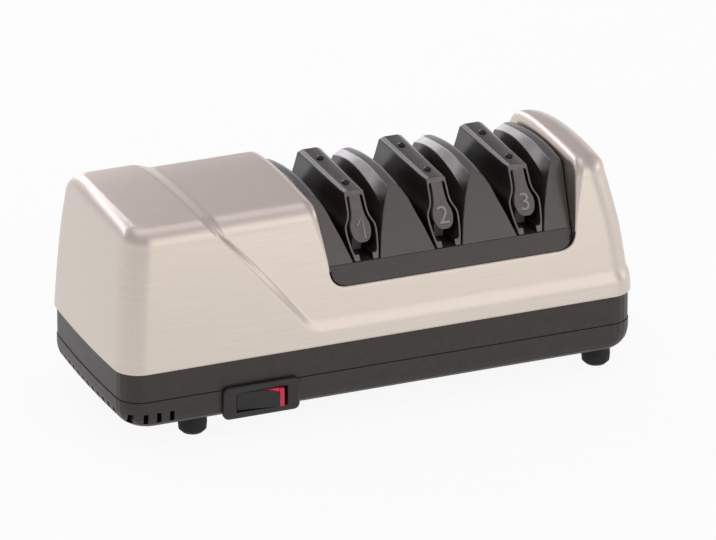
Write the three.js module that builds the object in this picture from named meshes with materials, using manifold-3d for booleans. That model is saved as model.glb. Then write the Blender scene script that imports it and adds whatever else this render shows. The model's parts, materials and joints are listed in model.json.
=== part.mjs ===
// Electric knife sharpener with three numbered stages, millimetres, +Z up.
// +X runs along the length to the third stage, -Y is the front with the switch.
// The origin lies on the table, under the middle of the sharpener.
import * as THREE from 'three';
import { mergeVertices } from 'three/addons/utils/BufferGeometryUtils.js';
import Module from 'manifold-3d';

const wasm = await Module();
wasm.setup();

// Overall form
const coverLength = 254;
const coverDepth = 99;
const overallHeight = 106;
const footHeight = 9.9;
const panHeight = 13.5;
const bandHeight = 13.8;
const cornerRadius = 11.5;
const endBow = 1.8;
const runningGap = 0.3;
const overrun = 20;
const weldOverlap = 0.02;
const planCornerSteps = 5;
const planEndSteps = 6;

// Cover
const coverWall = 2.4;
const coverDraftShare = 0.044;
const wallArchRadius = 900;
const lowLeanShare = 0.062;
const crownRadius = 8;
const crownCorner = 3.5;
const topApexY = -10;
const topArchRadius = 400;
const topBackFall = 7.6;
const stepDrop = 2.5;
const stepDepth = 1.2;
const stepInset = 42;
const stepTopLead = 3;
const stepRampWidth = 6;
const stepTurnRadius = 14;
const stepSlopeShare = 1.235;
const sillStepRise = 7.4;
const sillStepWidth = 4.6;
const stepSideWidth = 3.2;
const bayHeight = 26.2;
const bayHalfLength = 60.1;
const bayLeanShare = 0.09;
const bayCornerRadius = 8;
const bayWall = 3;
const bayEdgeRadius = 6;

// Guide deck
const stagePitch = 40.7;
const middleStageShare = 0.143;
const deckFloorRise = 8.4;
const deckCreaseY = 40;
const sillInset = 0.2;
const frontLeanShare = 0.6;
const backLeanShare = 0.33;
const humpHeight = 30;
const humpFootHalf = 14.1;
const humpShoulderHalf = 8.2;
const humpShoulderDrop = 3.4;
const humpTopHalf = 3.7;
const humpTopDrop = 1.3;
const humpArchRadius = 140;
const humpShoulderArchRadius = 62;
const humpShoulderApexY = 6;
const deckWall = 2.4;
const deckRim = 3;
const diskWindowMargin = 1.3;
const diskWindowHalfWidth = 5.7;
const channelRunShare = 1.3;

// Spring guides and their cores
const guideHeight = 28.4;
const guideTopHalf = 4.5;
const guideTopTaper = 1.5;
const guideChamfer = 1.1;
const guideNeckHalf = 5.1;
const guideNeckDrop = 6.3;
const guideBulgeHalf = 7.4;
const guideBulgeDrop = 13.8;
const guideWaistHalf = 7.1;
const guideWaistDrop = 18.6;
const guideFootHalf = 5.7;
const armThickness = 0.9;
const capThickness = 2.4;
const armHookLength = 1.6;
const armHookHeight = 2.6;
const coreSetBack = 0.7;
const coreNeckHalf = 2.8;
const coreBulbRadius = 4.7;
const coreBulbDrop = 15.6;
const coreLegHalf = 2.4;
const coreLegGap = 0.8;
const coreLegLength = 8;
const guideScrewFrontY = -13.5;
const guideScrewBackY = 17.5;
const guideScrewHeadRadius = 1.9;
const guideScrewHeadHeight = 1.1;
const guideScrewRadius = 1.1;
const guideScrewLength = 8;

// Base pan and chassis band
const baseInset = 1.15;
const baseWall = 2.5;
const panEdgeRadius = 4;
const panEndRadius = 9;
const panProud = 0.3;
const panRoundShare = 0.9;
const panRingShares = [0, 0.08, 0.25, 0.5, 0.75, 1];
const spigotHeight = 3.6;
const spigotWall = 1.8;
const beamWidth = 8;
const beamHeight = 6;
const beamRise = 1.6;
const screwRowY = 27;
const chassisPostRadius = 4.2;
const ventWidth = 2.2;
const ventHeight = 4.8;
const ventRise = 2.6;
const ventPitch = 6.3;
const ventFrontCount = 4;
const ventFrontInset = 4.5;
const ventEndCount = 12;

// Feet
const footRadius = 6.5;
const footBulge = 0.3;
const footEdge = 1.6;
const footStemRadius = 2.6;
const footStemLength = 5;
const footInsetY = 11.9;
const leftFootInset = 37.8;
const rightFootInset = 15.1;

// Switch
const switchInset = 66.4;
const bezelWidth = 37.6;
const bezelHeight = 16;
const bezelDrop = 1.2;
const bezelProud = 2.5;
const bezelCorner = 3;
const bezelRim = 4.2;
const rockerLength = 24.2;
const rockerHeight = 9.4;
const rockerThickness = 6;
const rockerTilt = 8;
const rockerFaceInset = 2.2;
const rockerFaceThickness = 0.8;
const switchBodyDepth = 15;

// Drive
const shaftRadius = 3;
const shaftOverhang = 4;
const bearingGap = 0.05;
const bushWall = 2;
const bushLength = 8;
const motorInset = 44;
const statorSize = 58;
const statorLength = 26;
const statorCorner = 7;
const rotorRadius = 15;
const airGap = 0.8;
const coilRadius = 26;
const coilWidth = 8.5;
const coilLength = 8;
const bracketOffset = 26;
const bracketThickness = 4;
const bracketPostRadius = 3;
const bracketWindowRadius = 6;
const endPedestalInset = 25;
const pedestalHeadRadius = 11;
const pedestalFootHalf = 17.6;
const fanRadius = 25;
const fanHubRadius = 7;
const fanLength = 8;
const fanGap = 1;
const fanPlate = 1.6;
const fanBladeThickness = 1.4;
const fanBladeCount = 8;

// Abrasive disks
const diskRadius = 25;
const diskReach = 4.2;
const diskOffset = 4.9;
const diskThickness = 1.4;
const diskDish = 1.5;
const diskHubRadius = 5.4;
const diskHubLength = 2;
const springWire = 0.7;
const springRadius = 4.6;
const springTurns = 3;

// Clean-out cover
const hatchLength = 40;
const hatchWidth = 30;
const hatchLedge = 2;
const hatchLatchWidth = 10;
const magnetLength = 26;
const magnetWidth = 10;
const magnetHeight = 2.5;

// Cord inlet
const inletInset = 66;
const inletRadius = 5.6;
const inletBoreRadius = 3.4;
const inletFlange = 1.8;
const inletFlangeRadius = 7.4;

// Screws through the pan
const panScrewRadius = 1.5;
const panScrewHeadRadius = 3;
const panScrewHeadHeight = 1.4;
const panScrewLength = 13;

// Heights and places worked out from the sizes above
const seamHeight = footHeight + panHeight;
const coverFoot = seamHeight + bandHeight;
const stepFoot = coverFoot + sillStepRise;
const bayFloor = coverFoot + bayHeight;
const deckFloor = bayFloor + deckFloorRise;
const guideTop = deckFloor + guideHeight;
const humpTop = deckFloor + humpHeight;
const halfLength = coverLength / 2;
const halfDepth = coverDepth / 2;
const baseLength = coverLength - 2 * baseInset;
const baseDepth = coverDepth - 2 * baseInset;
const baseCorner = cornerRadius - baseInset;
const panFloor = footHeight + baseWall;
const middleStageX = middleStageShare * coverLength;
const stageXs = [middleStageX - stagePitch, middleStageX, middleStageX + stagePitch];
const bayLeftX = middleStageX - bayHalfLength;
const bayRightX = middleStageX + bayHalfLength;
const stepTopX = stepInset - halfLength;
const axisHeight = deckFloor + diskReach - diskRadius;
const diskDepth = axisHeight + deckWall - deckFloor;
const diskWindowHalfLength = Math.sqrt(diskRadius ** 2 - diskDepth ** 2) + diskWindowMargin;
const leftFootX = leftFootInset - halfLength;
const rightFootX = halfLength - rightFootInset;
const switchX = switchInset - halfLength;
const inletX = inletInset - halfLength;
const hatchX = middleStageX;
const motorX = motorInset - halfLength;
const endPedestalX = halfLength - endPedestalInset;
const fanX = motorX - bracketOffset - bushLength / 2 - fanGap - fanLength;
const beamBottom = seamHeight + beamRise;
const beamTop = beamBottom + beamHeight;

// Colours, roughness and metalness of the real surfaces
const finishes = {
  satinMetal: { color: 0xc9bfb8, roughness: 0.34, metalness: 0.85 },
  blackPlastic: { color: 0x2b2826, roughness: 0.5, metalness: 0 },
  deckPlastic: { color: 0x35353a, roughness: 0.38, metalness: 0 },
  guidePlastic: { color: 0x1d1b1d, roughness: 0.42, metalness: 0 },
  corePlastic: { color: 0x55565a, roughness: 0.45, metalness: 0 },
  redPlastic: { color: 0xc3303a, roughness: 0.35, metalness: 0 },
  rubber: { color: 0x151515, roughness: 0.8, metalness: 0 },
  steel: { color: 0x9a9da1, roughness: 0.35, metalness: 1 },
  laminations: { color: 0x5b5d61, roughness: 0.55, metalness: 1 },
  copper: { color: 0x9c5a2c, roughness: 0.45, metalness: 1 },
  bronze: { color: 0x8a6a3c, roughness: 0.5, metalness: 1 },
  diamond: { color: 0x6d6f70, roughness: 0.75, metalness: 0.6 },
  whiteNylon: { color: 0xd8d6cf, roughness: 0.55, metalness: 0 },
  ferrite: { color: 0x303236, roughness: 0.7, metalness: 0.3 },
};

// Solids and booleans

function solid(geometry) {
  const bare = geometry.clone();
  bare.deleteAttribute('normal');
  bare.deleteAttribute('uv');
  const merged = mergeVertices(bare);
  const source = merged.index.array;
  const triangles = [];
  for (let i = 0; i < source.length; i += 3) {
    const [a, b, c] = [source[i], source[i + 1], source[i + 2]];
    if (a !== b && b !== c && c !== a) triangles.push(a, b, c);
  }
  return new wasm.Manifold(new wasm.Mesh({
    numProp: 3,
    vertProperties: new Float32Array(merged.attributes.position.array),
    triVerts: new Uint32Array(triangles),
  }));
}

function geometryOf(body) {
  const { vertProperties, triVerts } = body.getMesh();
  const geometry = new THREE.BufferGeometry();
  geometry.setAttribute('position', new THREE.BufferAttribute(new Float32Array(vertProperties), 3));
  geometry.setIndex(new THREE.BufferAttribute(new Uint32Array(triVerts), 1));
  geometry.computeVertexNormals();
  return geometry;
}

const union = (bodies) => bodies.reduce((all, body) => all.add(body));
const cut = (body, tools) => tools.reduce((rest, tool) => rest.subtract(tool), body);

// A closed skin through rings of equal point count; caps holds the triangles of its flat ends
function loft(rings, caps) {
  const count = rings[0].length;
  const last = (rings.length - 1) * count;
  const indices = [];
  for (let r = 0; r + 1 < rings.length; r++) {
    for (let i = 0; i < count; i++) {
      const j = (i + 1) % count;
      const [a, b] = [r * count + i, r * count + j];
      const [c, d] = [(r + 1) * count + j, (r + 1) * count + i];
      indices.push(a, b, c, a, c, d);
    }
  }
  for (const [a, b, c] of caps) {
    indices.push(a, c, b, last + a, last + b, last + c);
  }
  const geometry = new THREE.BufferGeometry();
  geometry.setAttribute('position', new THREE.Float32BufferAttribute(rings.flat(2), 3));
  geometry.setIndex(indices);
  return solid(outward(geometry));
}

// End triangles for rings drawn in X and Z
function outlineCaps(ring) {
  const outline = ring.map(([x, , z]) => new THREE.Vector2(x, z));
  const triangles = THREE.ShapeUtils.triangulateShape(outline, []);
  return THREE.ShapeUtils.isClockWise(outline) ? triangles.map(([a, b, c]) => [a, c, b]) : triangles;
}

// The same geometry with its faces turned out
function outward(geometry) {
  const p = geometry.attributes.position;
  const index = geometry.index.array;
  let volume = 0;
  const [a, b, c] = [new THREE.Vector3(), new THREE.Vector3(), new THREE.Vector3()];
  for (let i = 0; i < index.length; i += 3) {
    a.fromBufferAttribute(p, index[i]);
    b.fromBufferAttribute(p, index[i + 1]);
    c.fromBufferAttribute(p, index[i + 2]);
    volume += a.dot(b.cross(c));
  }
  if (volume < 0) {
    for (let i = 0; i < index.length; i += 3) {
      [index[i], index[i + 1]] = [index[i + 1], index[i]];
    }
  }
  return geometry;
}

function box(x0, x1, y0, y1, z0, z1) {
  const geometry = new THREE.BoxGeometry(x1 - x0, y1 - y0, z1 - z0);
  geometry.translate((x0 + x1) / 2, (y0 + y1) / 2, (z0 + z1) / 2);
  return solid(geometry);
}

// A shape drawn in X and Z, pushed along Y
function alongY(shape, y0, y1, curveSegments = 6) {
  const geometry = new THREE.ExtrudeGeometry(shape, { depth: y1 - y0, bevelEnabled: false, curveSegments });
  geometry.rotateX(Math.PI / 2);
  geometry.translate(0, y1, 0);
  return solid(geometry);
}

// A shape drawn in Y and Z, pushed along X
function alongX(shape, x0, x1, curveSegments = 6) {
  const geometry = new THREE.ExtrudeGeometry(shape, { depth: x1 - x0, bevelEnabled: false, curveSegments });
  geometry.rotateX(Math.PI / 2);
  geometry.rotateZ(Math.PI / 2);
  geometry.translate(x0, 0, 0);
  return solid(geometry);
}

// A shape drawn in X and Y, raised along Z
function alongZ(shape, z0, z1, curveSegments = 6) {
  const geometry = new THREE.ExtrudeGeometry(shape, { depth: z1 - z0, bevelEnabled: false, curveSegments });
  geometry.translate(0, 0, z0);
  return solid(geometry);
}

function polygon(points) {
  return new THREE.Shape(points.map(([x, y]) => new THREE.Vector2(x, y)));
}

function roundedRectangle(x0, x1, y0, y1, r) {
  const shape = new THREE.Shape();
  shape.moveTo(x0 + r, y0);
  shape.lineTo(x1 - r, y0).absarc(x1 - r, y0 + r, r, -Math.PI / 2, 0);
  shape.lineTo(x1, y1 - r).absarc(x1 - r, y1 - r, r, 0, Math.PI / 2);
  shape.lineTo(x0 + r, y1).absarc(x0 + r, y1 - r, r, Math.PI / 2, Math.PI);
  shape.lineTo(x0, y0 + r).absarc(x0 + r, y0 + r, r, Math.PI, 1.5 * Math.PI);
  return shape;
}

// A profile of radius and height, turned about Z
function turned(profile, segments = 24) {
  const points = profile.map(([radius, height]) => new THREE.Vector2(radius, height));
  const geometry = new THREE.LatheGeometry(points, segments);
  geometry.rotateX(Math.PI / 2);
  return solid(outward(mergeVertices(withoutExtras(geometry))));
}

function withoutExtras(geometry) {
  geometry.deleteAttribute('normal');
  geometry.deleteAttribute('uv');
  return geometry;
}

const turnedAlongX = (profile, segments) => turned(profile, segments).rotate([0, 90, 0]);
const turnedAlongY = (profile, segments) => turned(profile, segments).rotate([-90, 0, 0]);

function rod(radius, length, segments = 20) {
  return turned([[0, 0], [radius, 0], [radius, length], [0, length]], segments);
}

// Plan outline with bowed ends: a ring of points, lowered by the arch away from the middle
function planRing(length, depth, corner, bow, z, arch = () => 0) {
  const [hx, hy] = [length / 2, depth / 2];
  const ring = [];
  const arc = (cx, cy, start) => {
    for (let i = 0; i <= planCornerSteps; i++) {
      const t = start + (i / planCornerSteps) * (Math.PI / 2);
      ring.push([cx + corner * Math.cos(t), cy + corner * Math.sin(t)]);
    }
  };
  const end = (x, from, to) => {
    for (let i = 1; i < planEndSteps; i++) ring.push([x, from + ((to - from) * i) / planEndSteps]);
  };
  arc(hx - corner, hy - corner, 0);
  arc(-hx + corner, hy - corner, Math.PI / 2);
  end(-hx, hy - corner, -hy + corner);
  arc(-hx + corner, -hy + corner, Math.PI);
  arc(hx - corner, -hy + corner, 1.5 * Math.PI);
  end(hx, -hy + corner, hy - corner);
  return ring.map(([x, y]) => {
    const share = Math.max(0, (Math.abs(x) - (hx - corner)) / corner);
    return [x + Math.sign(x) * bow * share * (1 - (y / hy) ** 2), y, z - arch(y)];
  });
}

// Ribbons from the left half of a plan ring to the right half, so the end follows the arch
function planCaps(ring) {
  const count = ring.length;
  const first = planCornerSteps;
  const right = (i) => (first - i + count) % count;
  const left = (i) => first + 1 + i;
  const caps = [];
  for (let i = 0; i + 1 < count / 2; i++) {
    caps.push([right(i), left(i), left(i + 1)], [right(i), left(i + 1), right(i + 1)]);
  }
  return caps;
}

const planLoft = (rings) => loft(rings, planCaps(rings[0]));

// Cover

// How far the faces of the cover lie inside its foot, on the proud side and on the low side of the step
const highDraw = (z) => coverDraftShare * (z - coverFoot) + (z - coverFoot) ** 2 / (2 * wallArchRadius);
const lowDraw = (z) => highDraw(z) + stepDepth + lowLeanShare * Math.max(0, z - stepFoot - sillStepWidth);

// Fall of the top from its highest line, gentle to the front and steeper to the back
function topFall(y) {
  const reach = y - topApexY;
  return reach < 0 ? reach ** 2 / (2 * topArchRadius) : topBackFall * (reach / (halfDepth - topApexY)) ** 3;
}

// The cover as a plain block, drawn in by an inset; the low form is recessed above the sill step
function coverBlock(inset, low) {
  const top = overallHeight - (low ? stepDrop : 0) - inset;
  const radius = crownRadius - inset;
  const shoulder = top - radius;
  const wallDraw = low ? lowDraw : highDraw;
  const ringAt = (z, draw, extra, archShare) => planRing(coverLength - 2 * (draw + inset + extra),
    coverDepth - 2 * (draw + inset + extra), Math.max(cornerRadius - inset - extra, crownCorner), endBow, z,
    (y) => topFall(y) * archShare);
  const rings = [];
  if (low) {
    const hidden = highDraw(stepFoot) + coverWall;
    rings.push(ringAt(coverFoot - overrun, hidden, 0, 0), ringAt(stepFoot, hidden, 0, 0));
    rings.push(ringAt(stepFoot, highDraw(stepFoot), 0, 0));
  } else {
    if (inset > 0) rings.push(ringAt(coverFoot - overrun, 0, 0, 0));
    rings.push(ringAt(coverFoot, 0, 0, 0));
  }
  const wallFoot = stepFoot + sillStepWidth;
  const wallSteps = 4;
  for (let i = 0; i < wallSteps; i++) {
    const z = wallFoot + ((shoulder - wallFoot) * i) / wallSteps;
    rings.push(ringAt(z, wallDraw(z), 0, 0));
  }
  const crownSteps = 5;
  for (let i = 0; i <= crownSteps; i++) {
    const t = (i / crownSteps) * (Math.PI / 2);
    rings.push(ringAt(shoulder + radius * Math.sin(t), wallDraw(shoulder), radius * (1 - Math.cos(t)), 1));
  }
  return planLoft(rings);
}

// Edge of the sloping step in X and Z, moved by a share of its width, from the top to the right end
function stepEdge(share) {
  const angle = Math.atan(stepSlopeShare);
  const floor = stepFoot + share * sillStepWidth;
  const lineX = (z) => stepTopX + (share * stepSideWidth) / Math.sin(angle)
    + (overallHeight - z) / stepSlopeShare;
  const turn = stepTurnRadius - share * sillStepWidth;
  const reach = turn * Math.tan(angle / 2);
  const cornerX = lineX(floor);
  const rim = overallHeight - stepDrop - crownRadius;
  const points = [[lineX(overallHeight + overrun), overallHeight + overrun], [lineX(rim), rim]];
  const turnSteps = 5;
  for (let i = 0; i <= turnSteps; i++) {
    const t = angle * (1 - i / turnSteps);
    points.push([cornerX + reach - turn * Math.sin(t), floor + turn * (1 - Math.cos(t))]);
  }
  return [...points, [coverLength, floor]];
}

// Cutter for the soft ramp of the step, from the proud front face down to the low one
function stepRamp() {
  const ring = (side) => {
    const edge = stepEdge(side);
    const corner = [coverLength, overallHeight + overrun];
    return [...edge, corner].map(([x, z]) => {
      const drop = lowDraw(z) - highDraw(z);
      return [x, highDraw(z) - halfDepth + (side < 0 ? -drop : drop), z];
    });
  };
  const rings = [ring(-1), ring(1)];
  return loft(rings, outlineCaps(rings[0]));
}

// The side of the proud form, its ramp on the top following the fall of the top
function proudSide() {
  const inner = stepEdge(1).slice(1);
  const high = overallHeight + overrun;
  const steps = 12;
  const rings = [];
  for (let i = 0; i <= steps; i++) {
    const y = halfDepth * ((2 * i) / steps - 1);
    const top = overallHeight - topFall(y);
    const rampX = stepTopX - (stepTopLead * (y + halfDepth)) / coverDepth;
    const outline = [[-coverLength, 0], [-coverLength, high], [rampX, high], [rampX, top],
      [rampX + stepRampWidth, top - stepDrop], ...inner, [coverLength, 0]];
    rings.push(outline.map(([x, z]) => [x, y, z]));
  }
  return loft(rings, outlineCaps(rings[0]));
}

function coverOutside() {
  const ramp = stepRamp();
  const rightEnd = box(bayRightX + bayCornerRadius, coverLength, -coverDepth, coverDepth,
    stepFoot, overallHeight + overrun);
  const proud = cut(coverBlock(0, false).intersect(proudSide()), [ramp, ramp.mirror([0, 1, 0]), rightEnd]);
  const above = box(-coverLength, coverLength, -coverDepth, coverDepth, coverFoot, overallHeight);
  return proud.add(coverBlock(0, true).intersect(above));
}

// Room inside the cover, drawn in by a wall
function coverInside(wall) {
  const high = overallHeight + overrun;
  const lowSide = (share) => {
    const [rim, ...rest] = stepEdge(share).slice(1);
    const rampX = stepTopX - stepTopLead + share * stepSideWidth;
    return alongY(polygon([[rampX, high], [rampX, rim[1]], rim, ...rest, [coverLength, high]]),
      -coverDepth, coverDepth);
  };
  const proud = coverBlock(wall, false).subtract(lowSide(0));
  return proud.add(coverBlock(wall, true).intersect(lowSide(-weldOverlap)));
}

// Outline in X and Z of the bay that takes the guide deck, drawn in by a clearance
function bayOutline(clearance, topZ = overallHeight + overrun) {
  const floor = bayFloor + clearance;
  const half = (z) => bayHalfLength - clearance + (z - bayFloor) * bayLeanShare;
  const [left, right] = [(z) => middleStageX - half(z), (z) => middleStageX + half(z)];
  const r = bayCornerRadius;
  const shape = new THREE.Shape();
  shape.moveTo(left(topZ), topZ);
  shape.lineTo(left(floor + r), floor + r);
  shape.quadraticCurveTo(left(floor), floor, left(floor) + r, floor);
  shape.lineTo(right(floor) - r, floor);
  shape.quadraticCurveTo(right(floor), floor, right(floor + r), floor + r);
  shape.lineTo(right(topZ), topZ);
  shape.closePath();
  return shape;
}

// Cutter for the upright edge between the right bay wall and the front, rounder toward the top
function bayEdge() {
  const foot = bayFloor + bayCornerRadius;
  const steps = 4;
  const arcSteps = 5;
  const rings = [];
  for (let i = 0; i <= steps; i++) {
    const z = foot + ((overallHeight - foot) * i) / steps;
    const r = bayEdgeRadius * ((i + weldOverlap) / (steps + weldOverlap));
    const wallX = middleStageX + bayHalfLength + (z - bayFloor) * bayLeanShare;
    const faceY = lowDraw(z) - halfDepth;
    const ring = [[wallX - overrun, -coverDepth, z], [wallX - overrun, faceY + r, z]];
    for (let k = 0; k <= arcSteps; k++) {
      const t = (k / arcSteps) * (Math.PI / 2);
      ring.push([wallX + r * (1 - Math.cos(t)), faceY + r * (1 - Math.sin(t)), z]);
    }
    rings.push([...ring, [wallX + r, -coverDepth, z]]);
  }
  const caps = [];
  for (let k = 1; k + 1 < rings[0].length; k++) caps.push([0, k, k + 1]);
  return loft(rings, caps);
}

// The pressed cover with the walls that it turns in along both sides of the bay
function topCover() {
  const bay = alongY(bayOutline(0), -coverDepth, coverDepth);
  const upper = box(-coverLength, coverLength, -coverDepth, coverDepth, bayFloor, overallHeight + overrun);
  const sides = alongY(bayOutline(-bayWall), -coverDepth, coverDepth).intersect(upper);
  const room = coverInside(coverWall).subtract(sides);
  const edge = bayEdge();
  const across = edge.mirror([1, 0, 0]).translate([2 * middleStageX, 0, 0]);
  const edges = [edge, across].flatMap((tool) => [tool, tool.mirror([0, 1, 0])]);
  return cut(coverOutside(), [room, bay, ...edges]);
}

// Guide deck

// Side view of the deck in Y and Z: sills, leaning faces and arched tops
function deckSide(inset, floor) {
  const arch = (y) => humpTop - inset - (humpArchRadius - Math.sqrt(humpArchRadius ** 2 - y ** 2));
  const crease = deckFloor - inset;
  const frontY = (z) => -deckCreaseY + inset + (z - crease) * frontLeanShare;
  const backY = (z) => deckCreaseY - inset - (z - crease) * backLeanShare;
  const meet = (edge) => {
    let z = humpTop - inset;
    for (let i = 0; i < 12; i++) z = arch(edge(z));
    return [edge(z), z];
  };
  const front = meet(frontY);
  const back = meet(backY);
  const archSteps = 8;
  const sillY = halfDepth - lowDraw(bayFloor) - sillInset - inset;
  const points = [[-sillY, floor], [-deckCreaseY + inset, crease]];
  for (let i = 0; i <= archSteps; i++) {
    const y = front[0] + ((back[0] - front[0]) * i) / archSteps;
    points.push([y, arch(y)]);
  }
  points.push([deckCreaseY - inset, crease], [sillY, floor]);
  return polygon(points);
}

// The channel between two humps, widening upward, its shoulders arched along Y
function channel(x) {
  const half = stagePitch / 2;
  const rings = [];
  const steps = 8;
  for (let i = 0; i <= steps; i++) {
    const y = -deckCreaseY + (2 * deckCreaseY * i) / steps;
    const shoulderFall = (y - humpShoulderApexY) ** 2 / (2 * humpShoulderArchRadius);
    const shoulder = humpTop - humpShoulderDrop - shoulderFall;
    const top = humpTop - humpTopDrop - y ** 2 / (2 * humpArchRadius);
    const crest = humpTop + overrun;
    const wall = [
      [half - humpFootHalf, deckFloor],
      [half - humpShoulderHalf, Math.min(shoulder, top - humpTopDrop)],
      [half - humpTopHalf, top],
      [half, top + humpTopDrop],
      [half, crest],
    ];
    const left = wall.map(([dx, z]) => [x - dx, z]).reverse();
    const right = wall.map(([dx, z]) => [x + dx, z]);
    rings.push([...left, ...right].map(([px, z]) => [px, y * channelRunShare, z]));
  }
  return loft(rings, outlineCaps(rings[0]));
}

function guideDeck() {
  const bay = alongY(bayOutline(runningGap), -coverDepth, coverDepth);
  const top = bay.intersect(alongX(deckSide(0, bayFloor), -coverLength, coverLength));
  const rim = box(bayLeftX + bayCornerRadius, bayRightX - bayCornerRadius, -coverDepth, coverDepth,
    bayFloor - deckRim, bayFloor + runningGap + weldOverlap).intersect(coverInside(coverWall + runningGap));
  const reach = deckCreaseY - deckWall;
  const hollow = box(bayLeftX + bayCornerRadius, bayRightX - bayCornerRadius, -reach, reach,
    bayFloor - overrun, deckFloor - deckWall);
  const coreHalf = humpFootHalf - deckWall;
  const coreTopHalf = humpShoulderHalf - deckWall;
  const coreTop = humpTop - humpShoulderDrop - 2 * deckWall;
  const coreReach = deckCreaseY - backLeanShare * humpHeight - 2 * deckWall;
  const cores = stageXs.slice(1).map((stage) => {
    const x = stage - stagePitch / 2;
    const core = polygon([[x - coreHalf, bayFloor], [x + coreHalf, bayFloor], [x + coreTopHalf, coreTop],
      [x - coreTopHalf, coreTop]]);
    return alongY(core, -coreReach / 2, coreReach);
  });
  const windows = stageXs.map((x) => box(x - diskWindowHalfWidth, x + diskWindowHalfWidth,
    -diskWindowHalfLength, diskWindowHalfLength, bayFloor, deckFloor + overrun));
  return cut(top.add(rim), [hollow, ...cores, ...stageXs.map(channel), ...windows]);
}

// Spring guides

// Half outline of a spring guide, from its foot up to the middle of its cap
function guideWall(thickness, extraTop) {
  const top = guideTop - (thickness > 0 ? capThickness : 0);
  const chamfer = thickness > 0 ? 0 : guideChamfer;
  return [
    [guideFootHalf - thickness, deckFloor + runningGap],
    [guideWaistHalf - thickness, guideTop - guideWaistDrop],
    [guideBulgeHalf - thickness, guideTop - guideBulgeDrop],
    [guideNeckHalf + extraTop / 2 - thickness, guideTop - guideNeckDrop],
    [guideTopHalf + extraTop - thickness, top - chamfer],
    [guideTopHalf + extraTop - thickness - chamfer, top],
  ];
}

function guideRing(x, y, extraTop) {
  const outer = guideWall(0, extraTop);
  const inner = guideWall(armThickness, extraTop);
  const [footX, footZ] = inner[0];
  const hook = [[footX - armHookLength, footZ], [footX - armHookLength, footZ + armHookHeight],
    [footX, footZ + armHookHeight]];
  const path = [
    ...outer.map(([dx, z]) => [-dx, z]),
    ...outer.slice().reverse(),
    ...hook,
    ...inner.slice(1, 5),
    ...inner.slice(1, 5).reverse().map(([dx, z]) => [-dx, z]),
    ...hook.slice().reverse().map(([dx, z]) => [-dx, z]),
  ];
  return path.map(([dx, z]) => [x + dx, y, z]);
}

function springGuide(x) {
  const reach = deckCreaseY;
  const ends = [guideRing(x, -reach, 0), guideRing(x, reach, guideTopTaper)];
  const bar = loft(ends, outlineCaps(ends[0]))
    .intersect(alongX(deckSide(0, bayFloor), x - stagePitch, x + stagePitch));
  const windowTop = axisHeight + diskRadius + diskWindowMargin;
  const window = box(x - stagePitch / 2, x + stagePitch / 2, -diskWindowHalfLength, diskWindowHalfLength,
    bayFloor, windowTop);
  const holes = guideScrewHoles(x);
  return cut(bar, [window, ...holes]);
}

function guideScrewHoles(x) {
  return [guideScrewFrontY, guideScrewBackY].map((y) => rod(guideScrewRadius + runningGap, overrun, 12)
    .translate([x, y, guideTop + guideScrewHeadHeight - overrun / 2]));
}

// The fixed core under the spring guide, with the round number plate at its front
function guideCore(x) {
  const top = guideTop - capThickness - runningGap;
  const bulbZ = guideTop - coreBulbDrop;
  const joinAngle = Math.asin(coreNeckHalf / coreBulbRadius);
  const shape = new THREE.Shape();
  shape.moveTo(x - coreNeckHalf, top);
  shape.lineTo(x + coreNeckHalf, top);
  shape.absarc(x, bulbZ, coreBulbRadius, Math.PI / 2 - joinAngle, joinAngle - 1.5 * Math.PI, true);
  shape.closePath();
  const bar = alongY(shape, -deckCreaseY, deckCreaseY, 14)
    .intersect(alongX(deckSide(coreSetBack, bayFloor), x - stagePitch, x + stagePitch));
  const legY = diskWindowHalfLength + coreLegGap;
  const leg = box(x - coreLegHalf, x + coreLegHalf, legY, legY + coreLegLength,
    deckFloor + runningGap, bulbZ);
  return cut(union([bar, leg, leg.mirror([0, 1, 0])]), guideScrewHoles(x));
}

function guideScrew() {
  const seat = guideTop + runningGap / 2;
  const dome = 4;
  const tip = seat - guideScrewLength + guideScrewHeadHeight;
  const profile = [[0, tip], [guideScrewRadius, tip], [guideScrewRadius, seat], [guideScrewHeadRadius, seat]];
  for (let i = 1; i <= dome; i++) {
    const t = (i / dome) * (Math.PI / 2);
    profile.push([guideScrewHeadRadius * Math.cos(t), seat + guideScrewHeadHeight * Math.sin(t)]);
  }
  return turned(profile, 14);
}

// Base pan and chassis band

function panSkin(inset) {
  const top = seamHeight - runningGap;
  const drop = (radius, z) => {
    const share = Math.min(1, Math.max(0, 1 - (z - footHeight) / radius));
    return panRoundShare * radius * (1 - Math.sqrt(1 - share ** 2));
  };
  const heights = inset > 0
    ? [panFloor, footHeight + panEdgeRadius, footHeight + panEndRadius, top + overrun]
    : [...panRingShares.map((share) => footHeight + share * panEndRadius), top];
  const rings = heights.map((z) => {
    const [end, edge] = [drop(panEndRadius, z), drop(panEdgeRadius, z)];
    const grow = inset > 0 ? -inset : panProud * Math.min(1, (z - footHeight) / panEdgeRadius);
    return planRing(baseLength + 2 * (grow - end), baseDepth + 2 * (grow - edge),
      baseCorner - Math.min(edge - grow, baseCorner / 2), endBow, z);
  });
  return planLoft(rings);
}

function vents() {
  const z0 = footHeight + ventRise;
  const slot = (width, depth) => box(-width / 2, width / 2, -depth / 2, depth / 2, z0, z0 + ventHeight);
  const depth = 2 * panEndRadius;
  const tools = [];
  for (const side of [-1, 1]) {
    for (let i = 0; i < ventFrontCount; i++) {
      const x = ventFrontInset + i * ventPitch - halfLength;
      tools.push(slot(ventWidth, depth).translate([x, (side * baseDepth) / 2, 0]));
    }
  }
  const span = ventPitch * (ventEndCount - 1);
  for (let i = 0; i < ventEndCount; i++) {
    tools.push(slot(depth, ventWidth).translate([-baseLength / 2, i * ventPitch - span / 2, 0]));
  }
  return tools;
}

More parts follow.
